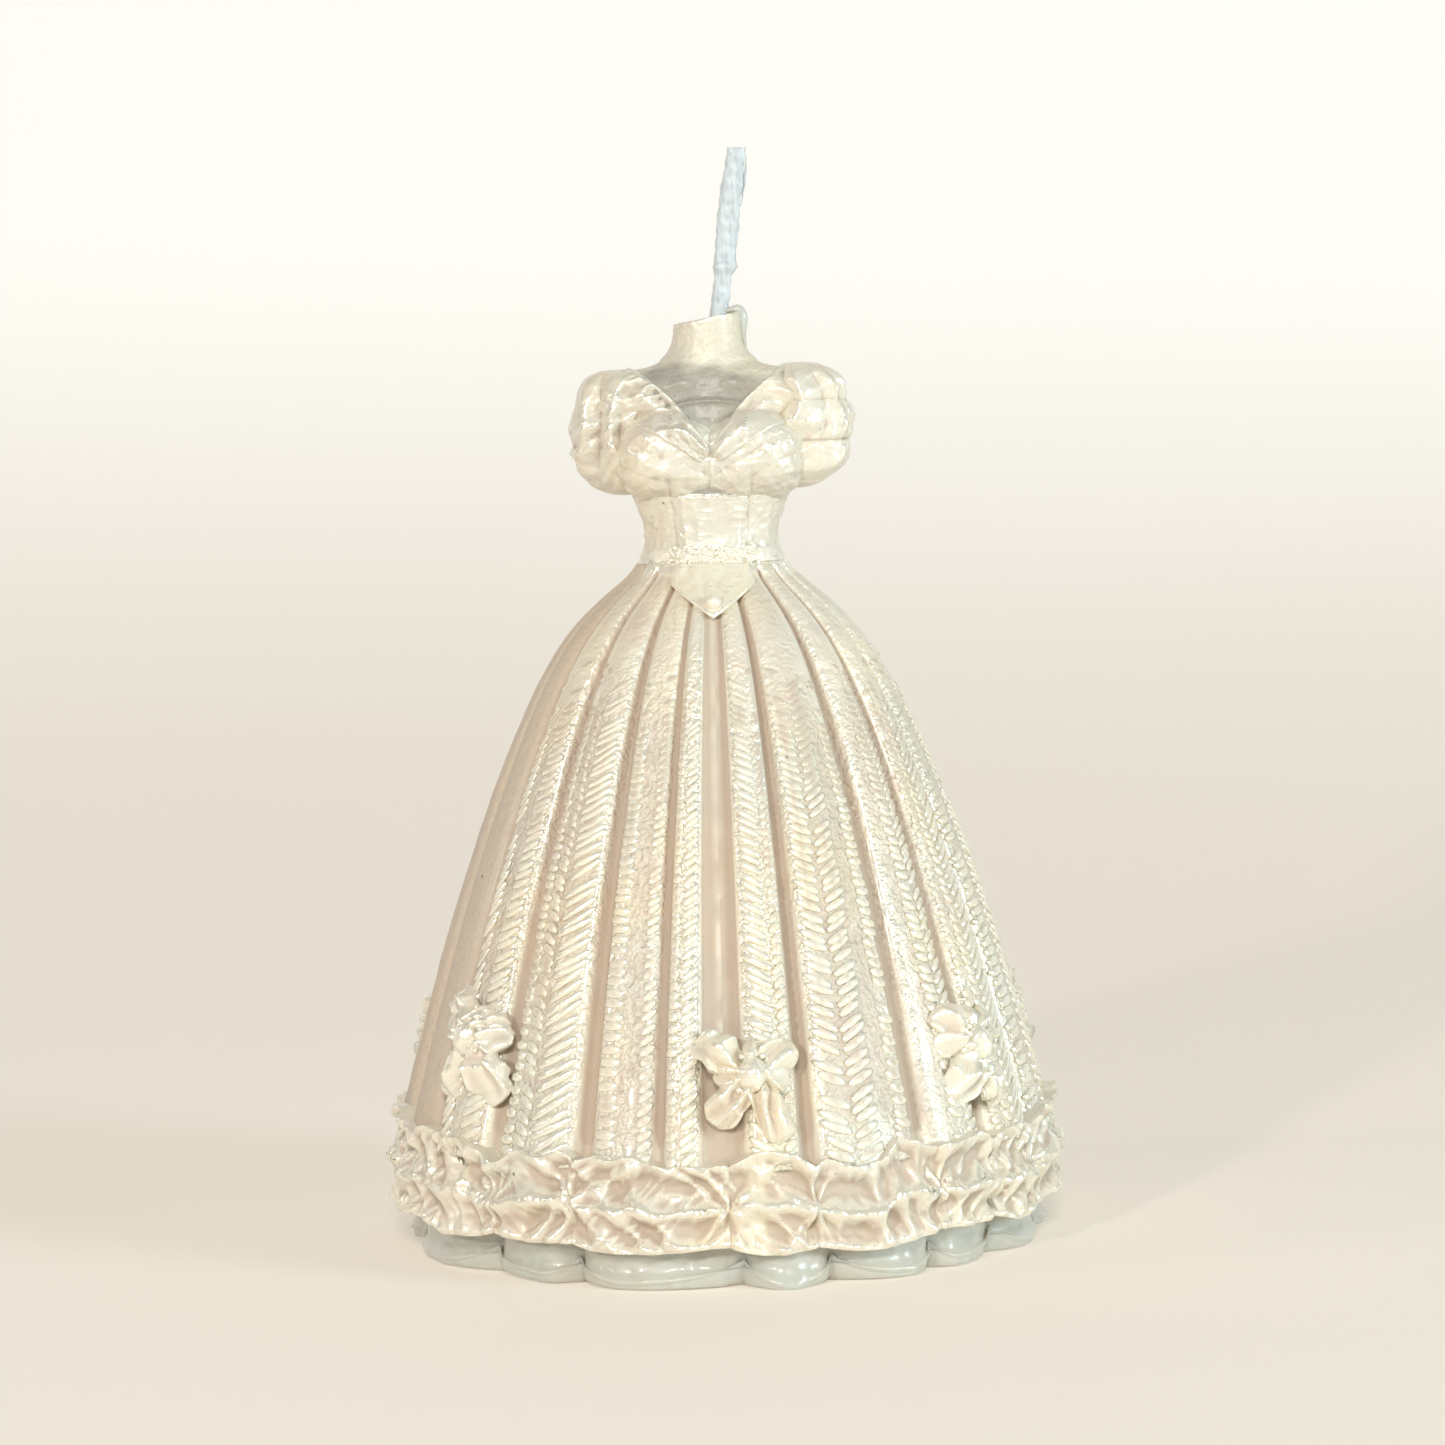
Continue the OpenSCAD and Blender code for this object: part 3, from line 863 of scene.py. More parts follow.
class CANDLE_OT_petticoat(bpy.types.Operator):
    """Add the lobed petticoat that shows below the ruffle"""

    bl_idname = "candle.petticoat"
    bl_label = "Petticoat"

    def execute(self, context):
        inner = FOOT_R + 0.1

        def where(u, v):
            degrees, around = u * 360, v * 2 * math.pi
            i, t = between_edges(degrees, LOBE_EDGES)
            skew = 0.5 + 0.22 * np.sin(i * 2.1)
            hump = np.where(t < skew, t / skew, (1 - t) / (1 - skew))
            lobe = np.sin(np.clip(hump, 0, 1) * math.pi / 2) ** 0.6 * (0.86 + 0.14 * np.sin(i * 4.7))
            side, share = np.cos(around), np.clip(0.5 + 0.54 * np.sin(around), 0, 1)
            z = 7.4 * share + 3.2 * (1 - lobe) * ease(share, 0.3, 0) * ease(side, 0, 0.3)
            curl = 0.7 * ease(share, 0.35, 0.0) - 0.5 * ease(share, 0.07, 0.0)
            ripple = 0.35 * wander(degrees * 0.6, i * 3.0, z * 0.5, 2.4, 21)
            ripple = ripple + 0.14 * wander(degrees * 0.6, z, i, 0.9, 22)
            outer = SEAT_R + 3.0 * lobe * (1 - 0.3 * share) + curl + ripple
            x, y = turn(degrees, inner + (outer - inner) * ease(side, -0.5, 0.15))
            return x, y, z

        piece = shaped_grid("petticoat", 640, 56, where)
        settle(piece, bare_wax(), "petticoat", slot="plain_wax", reach=30)
        return {"FINISHED"}


# ---- ruffle swags ----

# Pinches of the gathered ribbon between and at the bows, in degrees from the front.
PINCHES = np.array(
    [-78, -60, -43, -26.5, 0.5, 15, 38.5, 52, 66, 82, 96, 110, 126, 143, 160, 180, 197, 215, 232, 250, 268]
)

# Millimetres round the ruffle in one degree.
HEM_STEP = 0.65


class CANDLE_OT_swags(bpy.types.Operator):
    """Add the gathered ribbon ruffle, one swag from each bow to the next"""

    bl_idname = "candle.swags"
    bl_label = "Ruffle swags"

    def execute(self, context):
        crumple = context.scene.gown_sizes.crumple / MM
        for k, start in enumerate(BOW_PLACES):
            end = np.append(BOW_PLACES, BOW_PLACES[0] + 360)[k + 1]
            # The folds run on from swag to swag, and start and end behind the bow at the back.
            start, end = (start - 360, end - 360) if start >= 180 else (start, end)
            columns = int((end - start) * 4.2)

            def where(u, v, start=start, end=end, columns=columns):
                column = np.round(u * columns)
                degrees = start - 0.4 + (end - start + 0.8) * np.clip((column - 1) / (columns - 2), 0, 1)
                # Each end runs on a little way under its neighbour.
                over = np.maximum(np.maximum(start - degrees, degrees - end), 0) / 0.4
                around = v * 2 * math.pi
                i, t = between_edges(degrees, PINCHES)
                puff = np.sin(np.clip(t, 0, 1) * math.pi) ** 0.6
                run = degrees * HEM_STEP
                wave = wander(run, 0, 0, 5.5, 30)
                lift = 2.2 * np.sin(np.radians(degrees) / 2) ** 2
                top = HEM_Z - 1.9 + 1.5 * wave + 1.0 * puff + 0.7 * wander(run, 0, 0, 2.0, 36) + lift
                bottom = SWAG_Z + 0.4 + 1.1 * wander(run, 4, 0, 6.0, 29) - 0.5 * puff + 0.4 * lift
                side, share = np.cos(around), np.clip(0.5 + 0.53 * np.sin(around), 0, 1)
                z = bottom + (top - bottom) * share
                seam = 0.45 + 0.05 * wave
                below, above = np.clip(share / seam, 0, 1), np.clip((share - seam) / (1 - seam), 0, 1)
                under, over_seam = 1.3 * np.sin(below * math.pi) ** 2, 1.7 * np.sin(above * math.pi) ** 2
                tier = 0.5 - np.where(share < seam, under, over_seam)
                tier = tier - 0.4 * ease(share, 0.06, 0.0) - 0.5 * above**3
                slant = 0.7 * np.sin(i * 2.3 + 1)
                long_fold = folded(run + slant * z, z, 3.9, 31)
                cross_fold = folded(z * 0.9 - run * 0.45 * np.sign(slant), run, 3.8, 47)
                small = folded(run - slant * z * 1.4, z, 1.9, 35)
                relief = 1.5 * (long_fold - 0.5) + 1.1 * (cross_fold - 0.5) + 0.3 * (small - 0.5)
                relief = crumple * relief
                # Creases that run out from each pinch like the rays of a star.
                for n, pinch in enumerate(PINCHES):
                    across, up = ((degrees - pinch + 180) % 360 - 180) * HEM_STEP, z - (top + bottom) / 2
                    far = np.hypot(across, up)
                    rays = folded(3.2 * np.arctan2(up, across) / math.pi + n * 0.37, 0, 1.0, n)
                    near = np.exp(-((far / 3.4) ** 2)) * ease(far, 0.0, 1.4)
                    relief = relief * (1 - 0.6 * near) + crumple * (1.4 * rays - 0.7) * near
                crest = np.exp(-(((share - seam) / 0.07) ** 2)) * puff
                relief = relief * (1 - 0.55 * crest) + 0.55 * crest
                relief = 0.95 * np.tanh(relief / 0.95)
                fade = ease(share, -0.1, 0.12) * (0.45 + 0.55 * ease(share, 1.0, 0.8))
                outer = SWAG_R - 0.6 + tier * 0.85 + relief * fade - 0.4 * (1 - puff)
                outer = np.clip(outer, 35.2, SWAG_R + 0.9) - 0.12 * over
                close = (u <= 0) | (u >= 1)
                r = np.where(close, 34.5, 32.6 + (outer - 32.6) * ease(side, -0.55, 0.02))
                x, y = turn(degrees, r)
                return x, y, np.where(close, (top + bottom) / 2, z)

            piece = shaped_grid(f"hem_swag_{k + 1}", columns, 96, where)
            ruffle = pearl_wax("pearl_ruffle", 0.1, 0.07, 0.98, 0.7)
            settle(piece, ruffle, f"hem_swag_{k + 1}", reach=26, deep=0.36)
            # The painted shade and painted highlight fade out towards each end, so that they meet the next
            # swag's.
            x, y, _ = points_of(piece).T
            degrees = np.degrees(np.arctan2(x, -y))
            far = 180 - np.abs((degrees[:, None] - [start, end]) % 360 - 180)
            write_marks(piece, "hollow", 0.45 + (hollows_of(piece) - 0.45) * ease(far.min(1), 0, 3))
        return {"FINISHED"}


# ---- bows ----


def petal(angle, length, width, thick, seed):
    """A crumpled loop or tail of ribbon: x across the bow, y up it, z off the skirt."""
    turn_by = math.radians(angle)

    def where(u, v):
        around = u * 2 * math.pi
        body = np.maximum(np.sin(math.pi * v**0.75), 0) ** 0.42
        edge = 0.88 + 0.25 * folded(length * v + seed, 0, 2.9, seed + 4)
        across = blunt(np.cos(around), 0.8) * width * body * (0.42 + 0.58 * v) * edge
        along = length * v
        pleats = folded(across * (1.5 - 0.6 * v) + 0.2 * along + seed, along * 0.5, 2.4, seed)
        dents = folded(along - 0.5 * across, across, 3.8, seed + 9)
        off = np.maximum(np.sin(around), -0.25) * thick * body + 0.7 * np.sin(math.pi * v)
        off = off + (1.7 * (pleats - 0.5) + 1.0 * (dents - 0.5)) * body * (np.sin(around) > -0.3)
        x = along * math.cos(turn_by) - across * math.sin(turn_by)
        y = along * math.sin(turn_by) + across * math.cos(turn_by)
        return x, y, off

    return shaped_grid("petal", 44, 34, where)


def bow_frame(degrees, height):
    """The bow's place on the skirt, and its across, up and outward directions."""
    a = math.radians(degrees)
    out = np.array([math.sin(a), -math.cos(a), 0])
    slope = float(crest_radius(height - 1) - crest_radius(height + 1)) / 2
    up = np.array([-out[0] * slope, -out[1] * slope, 1])
    up /= np.linalg.norm(up)
    across = np.array([math.cos(a), math.sin(a), 0])
    return out * float(crest_radius(height)) + [0, 0, height], across, up, np.cross(across, up)


class CANDLE_OT_bows(bpy.types.Operator):
    """Add the six puffed bows above the ruffle"""

    bl_idname = "candle.bows"
    bl_label = "Bows"

    def execute(self, context):
        for k, degrees in enumerate(BOW_PLACES):
            chance = np.random.default_rng(70 + k)
            parts = [
                petal(
                    angle + chance.uniform(-12, 12),
                    length * chance.uniform(0.85, 1.1),
                    width * chance.uniform(0.85, 1.15),
                    thick,
                    seed + 7 * k,
                )
                for angle, length, width, thick, seed in (
                    (36, 5.6, 2.8, 1.2, 1),
                    (132, 6.8, 3.0, 1.2, 2),
                    (0, 4.8, 2.0, 1.1, 3),
                    (182, 4.8, 2.2, 1.1, 4),
                    (88, 4.4, 2.3, 0.9, 7),
                    (-60, 7.6, 3.1, 1.3, 5),
                    (-120, 7.6, 3.2, 1.3, 6),
                )
            ]

            def knot(u, v, k=k):
                around, up = u * 2 * math.pi, (v - 0.5) * math.pi
                x, y, z = np.cos(up) * np.cos(around), np.sin(up), np.cos(up) * np.sin(around)
                r = 1.5 * (1 + 0.3 * (creases(x, y, z, 0.9, 60 + k) - 0.4))
                return r * x, 1.15 * r * y, 1.9 + 0.8 * r * z

            parts.append(shaped_grid("knot", 28, 20, knot))

            def beads(grain, chance=chance):
                turns = chance.uniform(0, 2 * math.pi, 9)
                spots = np.stack([2.3 * np.cos(turns), 2.1 * np.sin(turns), chance.uniform(1.2, 1.9, 9)], 1)
                return (spots[:, None] + grain * chance.uniform(0.3, 0.5, 9)[:, None, None]).reshape(-1, 3)

            parts.append(repeated("beads", 6, 10, beads))
            piece = joined(f"bow_{k + 1}", parts)
            here, across, up, out = bow_frame(float(degrees), BOW_HEIGHTS[k])
            x, y, z = points_of(piece).T[:, :, None]
            # The bow bends round the skirt.
            world = here + x * across + y * up + (z - 0.2 - 0.025 * x**2) * out
            piece.data.vertices.foreach_set("co", (world * MM).ravel())
            finish_mesh(piece)
            settle(piece, satin_wax(), f"bow_{k + 1}")
        return {"FINISHED"}


# ---- figure ----

# Half-width and half-depth of the figure at heights above the line under the bust.
CHEST_Z = np.array([-7.6, -5.5, -3.5, -1.5, 0, 2, 4.5, 7.5, 10, 12, 13.0, 13.5, 14.0, 15, 16.2, 18, 21])
CHEST_W = np.array([
    8.2, 7.35, 7.4, 8.1, 8.7, 9.1, 9.4, 9.9, 10.6, 11.2, 10.9, 9.3, 6.6, 5.0, 4.15, 3.8, 3.75,
])
CHEST_D = np.array([6.2, 5.75, 5.65, 5.9, 6.1, 6.3, 6.4, 6.1, 5.6, 5.2, 4.9, 4.7, 4.4, 4.1, 3.9, 3.7, 3.6])


def figure_point(degrees, z, lift=0.0):
    """A point on the corset, chest, shoulders or neck."""
    w = through(z - RIB_Z, CHEST_Z, CHEST_W) + lift
    d = through(z - RIB_Z, CHEST_Z, CHEST_D) + lift
    a = np.radians(degrees)
    return w * np.sin(a), -d * np.cos(a), z


def figure_y(x, z):
    """The front surface of the figure at x and z."""
    w = through(z - RIB_Z, CHEST_Z, CHEST_W)
    d = through(z - RIB_Z, CHEST_Z, CHEST_D)
    return -d * np.sqrt(np.clip(1 - (x / w) ** 2, 0.02, 1))


def closed_figure(name, columns, rows, low_z, high_z, shape):
    """A length of the figure, closed flat at both ends: shape(degrees, z) gives its points."""

    def where(u, v):
        row = np.round(v * rows)
        share = np.clip((row - 1) / (rows - 2), 0, 1)
        z = low_z + (high_z - low_z) * share
        x, y, z = shape(u * 360, z)
        z = np.where(row < 1, low_z, np.where(row > rows - 1, high_z, z))
        pole = (row < 1) | (row > rows - 1)
        return np.where(pole, 0, x), np.where(pole, 0, y), z

    return shaped_grid(name, columns, rows, where)


class CANDLE_OT_bust(bpy.types.Operator):
    """Add the bare shoulders, chest and cut neck"""

    bl_idname = "candle.bust"
    bl_label = "Bust form"

    def execute(self, context):
        slope = math.tan(math.radians(11))

        def shape(degrees, z):
            x, y, z = figure_point(degrees, z)
            front = ease(-y, 2.0, 4.5)
            arc = RIB_Z + 10.3 - 0.035 * x**2
            edge = np.exp(-(((z - arc) / 0.28) ** 2)) * ease(np.abs(x), 5.6, 4.6) * front
            bone = 0.35 * np.exp(-(((z - RIB_Z - 12.6 + 0.12 * np.abs(x)) / 0.8) ** 2))
            bone = bone * ease(np.abs(x), 0.8, 3) * front
            uneven = 0.05 * wander(x, y, z, 1.3, 41) + 0.04 * wander(x, y, z, 0.45, 42)
            x, y = pushed_out(x, y, 0.28 * edge + bone + uneven)
            top = NECK_Z + slope * x + 0.15 * wander(x, y, 0, 1.4, 43)
            return x, y, z + ease(z, NECK_Z - 3, NECK_Z) * (top - NECK_Z)

        piece = closed_figure("bust_form", 200, 220, RIB_Z - 0.4, NECK_Z, shape)
        settle(piece, pearl_wax("pearl_skin", 0.9, -0.14, 0.46, back=0.92), "bust_form")
        return {"FINISHED"}


class CANDLE_OT_corset(bpy.types.Operator):
    """Add the corset with its princess seams, and its centre panel"""

    bl_idname = "candle.corset"
    bl_label = "Corset"

    def execute(self, context):
        half = (high("front_panel")[0] - low("front_panel")[0]) / 2

        def shape(degrees, z):
            x, y, z = figure_point(degrees, z, 0.05)
            front = ease(-y, 1.0, 3.0)
            share = (z - WAIST_Z) / (RIB_Z - WAIST_Z)
            seam_x = half * (0.92 + 0.16 * share)
            seam = np.exp(-(((np.abs(x) - seam_x) / 0.2) ** 2)) * front
            side = np.exp(-(((np.abs(x) - seam_x - 2.6) / 0.22) ** 2)) * front
            drape = 0.14 * wander(x * 0.7, y * 0.7, z * 1.6, 1.6, 51) + 0.09 * wander(x, y, z, 0.6, 52)
            crinkle = 0.11 * (creases(x, y, z * 2.2, 1.9, 54) - 0.45)
            x, y = pushed_out(x, y, drape + crinkle - 0.10 * seam - 0.05 * side)
            return x, y, z

        piece = closed_figure("corset", 200, 70, WAIST_Z - 0.3, RIB_Z + 0.2, shape)
        settle(piece, cloth_wax(), "corset", reach=12, deep=0.2)

        low_z, high_z = low("front_panel")[2] - 0.2, high("front_panel")[2]

        def panel(u, v):
            share = v
            z = low_z + (high_z - low_z) * share
            around = u * 2 * math.pi
            width = (half - 0.25) * (0.93 + 0.14 * share)
            x = width * np.clip(np.cos(around) * 1.12, -1, 1)
            thick = 0.24 * ease(1 - np.abs(x) / width, 0, 0.2)
            y = figure_y(x, z) + np.where(np.sin(around) > 0, 0.4, 0) - np.where(np.sin(around) > 0, 0, thick)
            cloth = 0.10 * wander(x, z, 0, 0.9, 53) - 0.12 * (creases(x, z * 2.2, 0, 1.9, 54) - 0.45)
            y = y + cloth * (np.sin(around) < 0)
            end = (v <= 0) | (v >= 1)
            return np.where(end, 0, x), np.where(end, figure_y(0 * x, z), y), z

        piece = shaped_grid("front_panel", 96, 56, panel)
        settle(piece, cloth_wax(), "front_panel", reach=12, deep=0.2)
        return {"FINISHED"}


# Each cup's distance from the middle, half-width and half-height.
CUP_X, CUP_W, CUP_H = 4.2, 6.2, 4.9


class CANDLE_OT_cups(bpy.types.Operator):
    """Add the two draped cups of the corset"""

    bl_idname = "candle.cups"
    bl_label = "Cups"

    def execute(self, context):
        for name, side in (("cup_left", -1), ("cup_right", 1)):

            def where(u, v, side=side):
                around, up = u * 2 * math.pi, (v - 0.5) * math.pi
                x, z = blunt(np.cos(up), 0.8) * blunt(np.cos(around), 0.8), blunt(np.sin(up), 0.8)
                # Full towards the middle, and drawn in softly to the line under the bust.
                y = blunt(np.cos(up), np.where(up < 0, np.where(x < 0, 1.3, 1.7), 1.0))
                y = y * blunt(np.sin(around), np.where(x < 0, 0.5, 1.0))
                # Cloth drawn from the V up towards the shoulder.
                across = 4.6 * (z * 0.86 - x * 0.5) + 0.9 * wander(x, y, z, 0.7, 61 + side)
                drape = np.abs(np.sin(across * 1.6)) ** 0.7 - 0.6
                crush = creases(x * 4 + z * 2, y * 2, z * 4, 1.7, 62 + side) - 0.45
                pits = wander(x * 5.5, y * 5, z * 5, 0.6, 64 + side)
                lift = 1 + (0.03 * drape * ease(z, 1.0, 0.2) + 0.05 * crush + 0.012 * pits) * (y < 0.3)
                px = np.maximum(CUP_X + x * CUP_W * lift, -0.12)
                tie = 0.35 * np.exp(-((px / 0.45) ** 2)) * ease(z, -0.75, -0.35) * ease(z, 0.1, -0.1)
                height = np.where(z < 0, 5.1, CUP_H)
                return side * px, -3.0 + y * 5.0 * lift - tie, RIB_Z + 4.2 + z * height * lift

            piece = shaped_grid(name, 150, 100, where)
            settle(piece, cloth_wax(), name, reach=14, deep=0.2)
        return {"FINISHED"}


def gown_front(x, z):
    """The front surface of the chest and the cups together, as cloth lies over them."""
    share = 1 - np.abs((np.abs(x) - CUP_X) / CUP_W) ** 2.5 - np.abs((z - RIB_Z - 4.2) / CUP_H) ** 2.5
    cup = -3.0 - 5.0 * np.clip(share, 0, 1) ** np.where(np.abs(x) < CUP_X, 0.35, 0.5)
    return -np.log(np.exp(-1.2 * figure_y(x, z)) + np.exp(-1.2 * cup)) / 1.2


def swept_band(name, columns, rows, path, across, width, height, relief):
    """A padded band along path(s): across(s) is its up direction, width(s) and height(s) its size."""

    def where(u, s):
        around = u * 2 * math.pi
        step = 0.004
        here = path(s)
        ahead = path(np.clip(s + step, 0, 1)) - path(np.clip(s - step, 0, 1))
        ahead /= np.linalg.norm(ahead, axis=1, keepdims=True)
        up = across(s)
        up = up - ahead * np.sum(up * ahead, 1, keepdims=True)
        up /= np.linalg.norm(up, axis=1, keepdims=True)
        out = np.cross(ahead, up)
        flip = np.sign(np.sum(out * here * [1, 1, 0], 1, keepdims=True))
        out = out * np.where(flip == 0, 1, flip)
        end = (s <= 0) | (s >= 1)
        w, h = np.where(end, 0, width(s)) / 2, np.where(end, 0, height(s))
        p, q = np.cos(around), np.sin(around)
        outer = np.where(q > 0, blunt(q, 0.6), q * 0.4)
        bulge = h * (outer + relief(s, p) * (q > 0))
        x, y, z = (here + up * (w * p)[:, None] + out * bulge[:, None]).T
        lying = gown_front(x, z) + 0.25 - bulge
        return x, y + (lying - y) * ease(s, 0.5, 0.36), z

    return shaped_grid(name, columns, rows, where)


class CANDLE_OT_collar(bpy.types.Operator):
    """Add the two off-shoulder collar folds that meet in the V"""

    bl_idname = "candle.collar"
    bl_label = "Collar"

    def execute(self, context):
        knots = np.array([0, 0.12, 0.26, 0.42, 0.53, 0.63, 0.78, 0.9, 1])
        xs = np.array([0.2, 2.4, 5.2, 8.3, 10.2, 10.6, 8.4, 4.4, 0.0])
        ys = np.array([-7.5, -7.7, -6.6, -4.9, -2.2, 0.8, 4.2, 5.6, 5.9])
        zs = RIB_Z + np.array([3.9, 6.1, 8.6, 10.5, 11.6, 11.9, 11.6, 11.0, 10.6])
        wide = np.array([1.6, 3.0, 4.5, 5.9, 6.2, 5.8, 4.6, 3.8, 3.4])
        lean_x = np.array([0.7, 0.6, 0.55, 0.65, 0.9, 1.0, 0.6, 0.3, 0.0])
        lean_y = np.array([0.15, 0.2, 0.35, 0.4, 0.25, 0.0, -0.3, -0.4, -0.4])

        for name, side in (("collar_left", -1), ("collar_right", 1)):

            def path(s, side=side):
                x, y, z = (through(s, knots, row) for row in (xs, ys, zs))
                return np.stack([side * x, y, z], 1)

            def across(s, side=side):
                x, y = through(s, knots, lean_x), through(s, knots, lean_y)
                return np.stack([-side * x, y, np.full(s.shape, 0.8)], 1)

            def width(s):
                return through(s, knots, wide) * ease(s, -0.02, 0.03) * ease(s, 1.01, 0.98)

            def height(s):
                return 0.85 * ease(s, -0.02, 0.05) * ease(s, 1.02, 0.97)

            def relief(s, p, side=side):
                warp = wander(s * 20, p * 2, 0, 3.0, 71)
                folds = 0.18 * np.cos(p * 4.4 + 1.5 * warp)
                crush = creases(s * 26 + p * 1.5, p * 2.6 - s * 7, 0, 2.1, 72 + side) - 0.5
                small = wander(s * 26, p * 3, 0, 0.6, 75 + side)
                rough = (1.3 * crush + 0.16 * small) if side < 0 else 0.3 * crush
                return (folds + rough) * ease(np.abs(p), 1.0, 0.75)

            piece = swept_band(name, 44, 240, path, across, width, height, relief)
            settle(piece, cloth_wax(), name, reach=16, deep=0.3)
        return {"FINISHED"}


class CANDLE_OT_sleeves(bpy.types.Operator):
    """Add the two crumpled puff sleeves"""

    bl_idname = "candle.sleeves"
    bl_label = "Sleeves"

    def execute(self, context):
        crumple = context.scene.gown_sizes.crumple / MM
        for name, side in (("sleeve_left", -1), ("sleeve_right", 1)):

            def where(u, v, side=side):
                around, up = u * 2 * math.pi, (v - 0.5) * math.pi
                ring = blunt(np.cos(up), np.where(up > 0, 0.6, 0.75))
                x, y, z = ring * np.cos(around), ring * np.sin(around), blunt(np.sin(up), 0.8)
                gathers = folded(np.degrees(around) * 0.08 + 2.0 * z * x, z * 5 + side * 9.0, 4.4, 81)
                gathers = 0.5 + (gathers - 0.5) * ease(np.abs(np.sin(around / 2)), 0.0, 0.25)
                small = folded(z * 6.5 - x * 3.0 * side, y * 5 + x * 4, 2.8, 82 + side)
                pits = creases(x * 5, y * 5, z * 7, 2.6, 84 + side) - 0.45
                lobes = np.abs(np.sin((z * 1.55 + 0.35) * math.pi)) ** 0.7
                lift = 0.75 * lobes * (0.6 + 0.4 * side)
                lift = lift + crumple * (1.3 * (gathers - 0.5) + 0.4 * (small - 0.5) + 0.45 * pits)
                lift = 1 + lift / 5.2 * ease(1 - np.abs(z), 0.0, 0.12)
                lean = -1.4 * np.maximum(-z, 0) ** 2 - 0.9 * np.maximum(z, 0) ** 2
                middle = RIB_Z + 6.9 + 0.4 * (side > 0)
                return side * (10.9 + lean + 4.4 * x * lift), 4.8 * y * lift, middle + 6.9 * z

            piece = shaped_grid(name, 170, 120, where)
            # Painted shade: the left sleeve's copy of the wax is made darker than the right's, as the side
            # away from the light.
            puffed = pearl_wax(f"pearl_{name}", 0.1, 0.06, 0.93 + 0.05 * side, 0.8)
            settle(piece, puffed, name, reach=22, deep=0.34)
        return {"FINISHED"}


# ---- trims ----


class CANDLE_OT_belt(bpy.types.Operator):
    """Add the beaded belt in the waist seam"""

    bl_idname = "candle.belt"
    bl_label = "Belt"

    def execute(self, context):
        low_z, high_z = low("belt")[2], high("belt")[2]
        middle, half = (low_z + high_z) / 2, (high_z - low_z) / 2

        def band(u, v):
            degrees, around = u * 360, v * 2 * math.pi
            z = middle + half * np.sin(around)
            x, y, _ = figure_point(degrees, z, 0.0)
            front = ease(-y, 2.5, 5.0)
            rough = 0.02 + 0.16 * front
            stand = np.maximum(np.cos(around), -0.6) * (0.02 + 0.26 * front)
            x, y = pushed_out(x, y, stand + rough * wander(x, y, z, 0.5, 91))
            return x, y, z

        parts = [shaped_grid("belt_band", 220, 16, band)]
        chance = np.random.default_rng(9)
        count = 340
        turns, rises = chance.uniform(-37, 37, count), chance.uniform(low_z - 0.2, high_z + 0.2, count)
        sizes = chance.uniform(0.10, 0.27, count)

        def beads(grain):
            x, y, z = figure_point(turns, rises, 0.30)
            spots = np.stack([x, y, z], 1)[:, None]
            return (spots + grain * sizes[:, None, None] * [1.2, 0.8, 0.9]).reshape(-1, 3)

        parts.append(repeated("belt_beads", 5, 8, beads))
        settle(joined("belt", parts), pearl_wax("pearl_beads", 0.1, 0.06, 1.12, 0.2), "belt", reach=6)
        return {"FINISHED"}


class CANDLE_OT_basque(bpy.types.Operator):
    """Add the pointed basque below the belt, and the pearl at its point"""

    bl_idname = "candle.basque"
    bl_label = "Basque and pearl"

    def execute(self, context):
        low_z, high_z = low("basque")[2], high("basque")[2] + 0.5
        wing = high("basque")[0]
        height = high_z - low_z

        def smooth_skirt(x, z, lift):
            r = crest_radius(z) + lift
            return -flattening(z) * np.sqrt(np.maximum(r**2 - x**2, 1))

        def where(u, v):
            around = v * 2 * math.pi
            x = wing * (2 * u - 1) * 0.985
            side = 0.42 * height
            corner = np.clip((np.abs(x) - wing * 0.82) / (wing * 0.18), 0, 1)
            top = high_z - 0.05 - corner * (height - side) * 0.72
            bottom = low_z + (height - side) * (np.abs(x) / wing) ** 1.15
            share = np.clip(0.5 + 0.56 * np.sin(around), 0, 1)
            z = bottom + (top - bottom) * share
            rim = np.minimum(share, 1 - share) * (top - bottom)
            hem = share * (top - bottom)
            edge_out = np.clip(np.cos(around) * 1.6, -1, 1)
            stand = 0.16 + 0.26 * edge_out * ease(rim, -0.05, 0.6) * ease(np.abs(x), wing, wing * 0.85)
            crinkle = 0.2 * wander(x, z, 0, 0.8, 95) + 0.4 * (creases(x, z, 0, 1.7, 97) - 0.45)
            stand = stand + crinkle * (edge_out > 0) + 0.14 * ease(hem, 0.85, 0.35) * (edge_out > 0)
            end = (u <= 0) | (u >= 1)
            y = smooth_skirt(x, z, np.where(end, 0.2, stand))
            return x, y, np.where(end, (top + bottom) / 2, z)

        piece = shaped_grid("basque", 90, 64, where)
        settle(piece, satin_wax(), "basque", reach=12, deep=0.24)

        centre = (low("basque_pearl") + high("basque_pearl")) / 2
        radius = (high("basque_pearl")[0] - low("basque_pearl")[0]) / 2

        # The pearl is bedded in the basque's front.
        centre[1] = float(smooth_skirt(centre[0], centre[2], 0.45)) - 0.45 * radius

        def bead(u, v):
            around, up = u * 2 * math.pi, (v - 0.5) * math.pi
            x, y, z = np.cos(up) * np.cos(around), np.cos(up) * np.sin(around), np.sin(up)
            r = radius * (1 + 0.05 * wander(x, y, z, 0.8, 96))
            return centre[0] + r * x, centre[1] + r * y, centre[2] + r * z

        piece = shaped_grid("basque_pearl", 32, 20, bead)
        settle(piece, satin_wax(), "basque_pearl")
        return {"FINISHED"}


# ---- wick ----


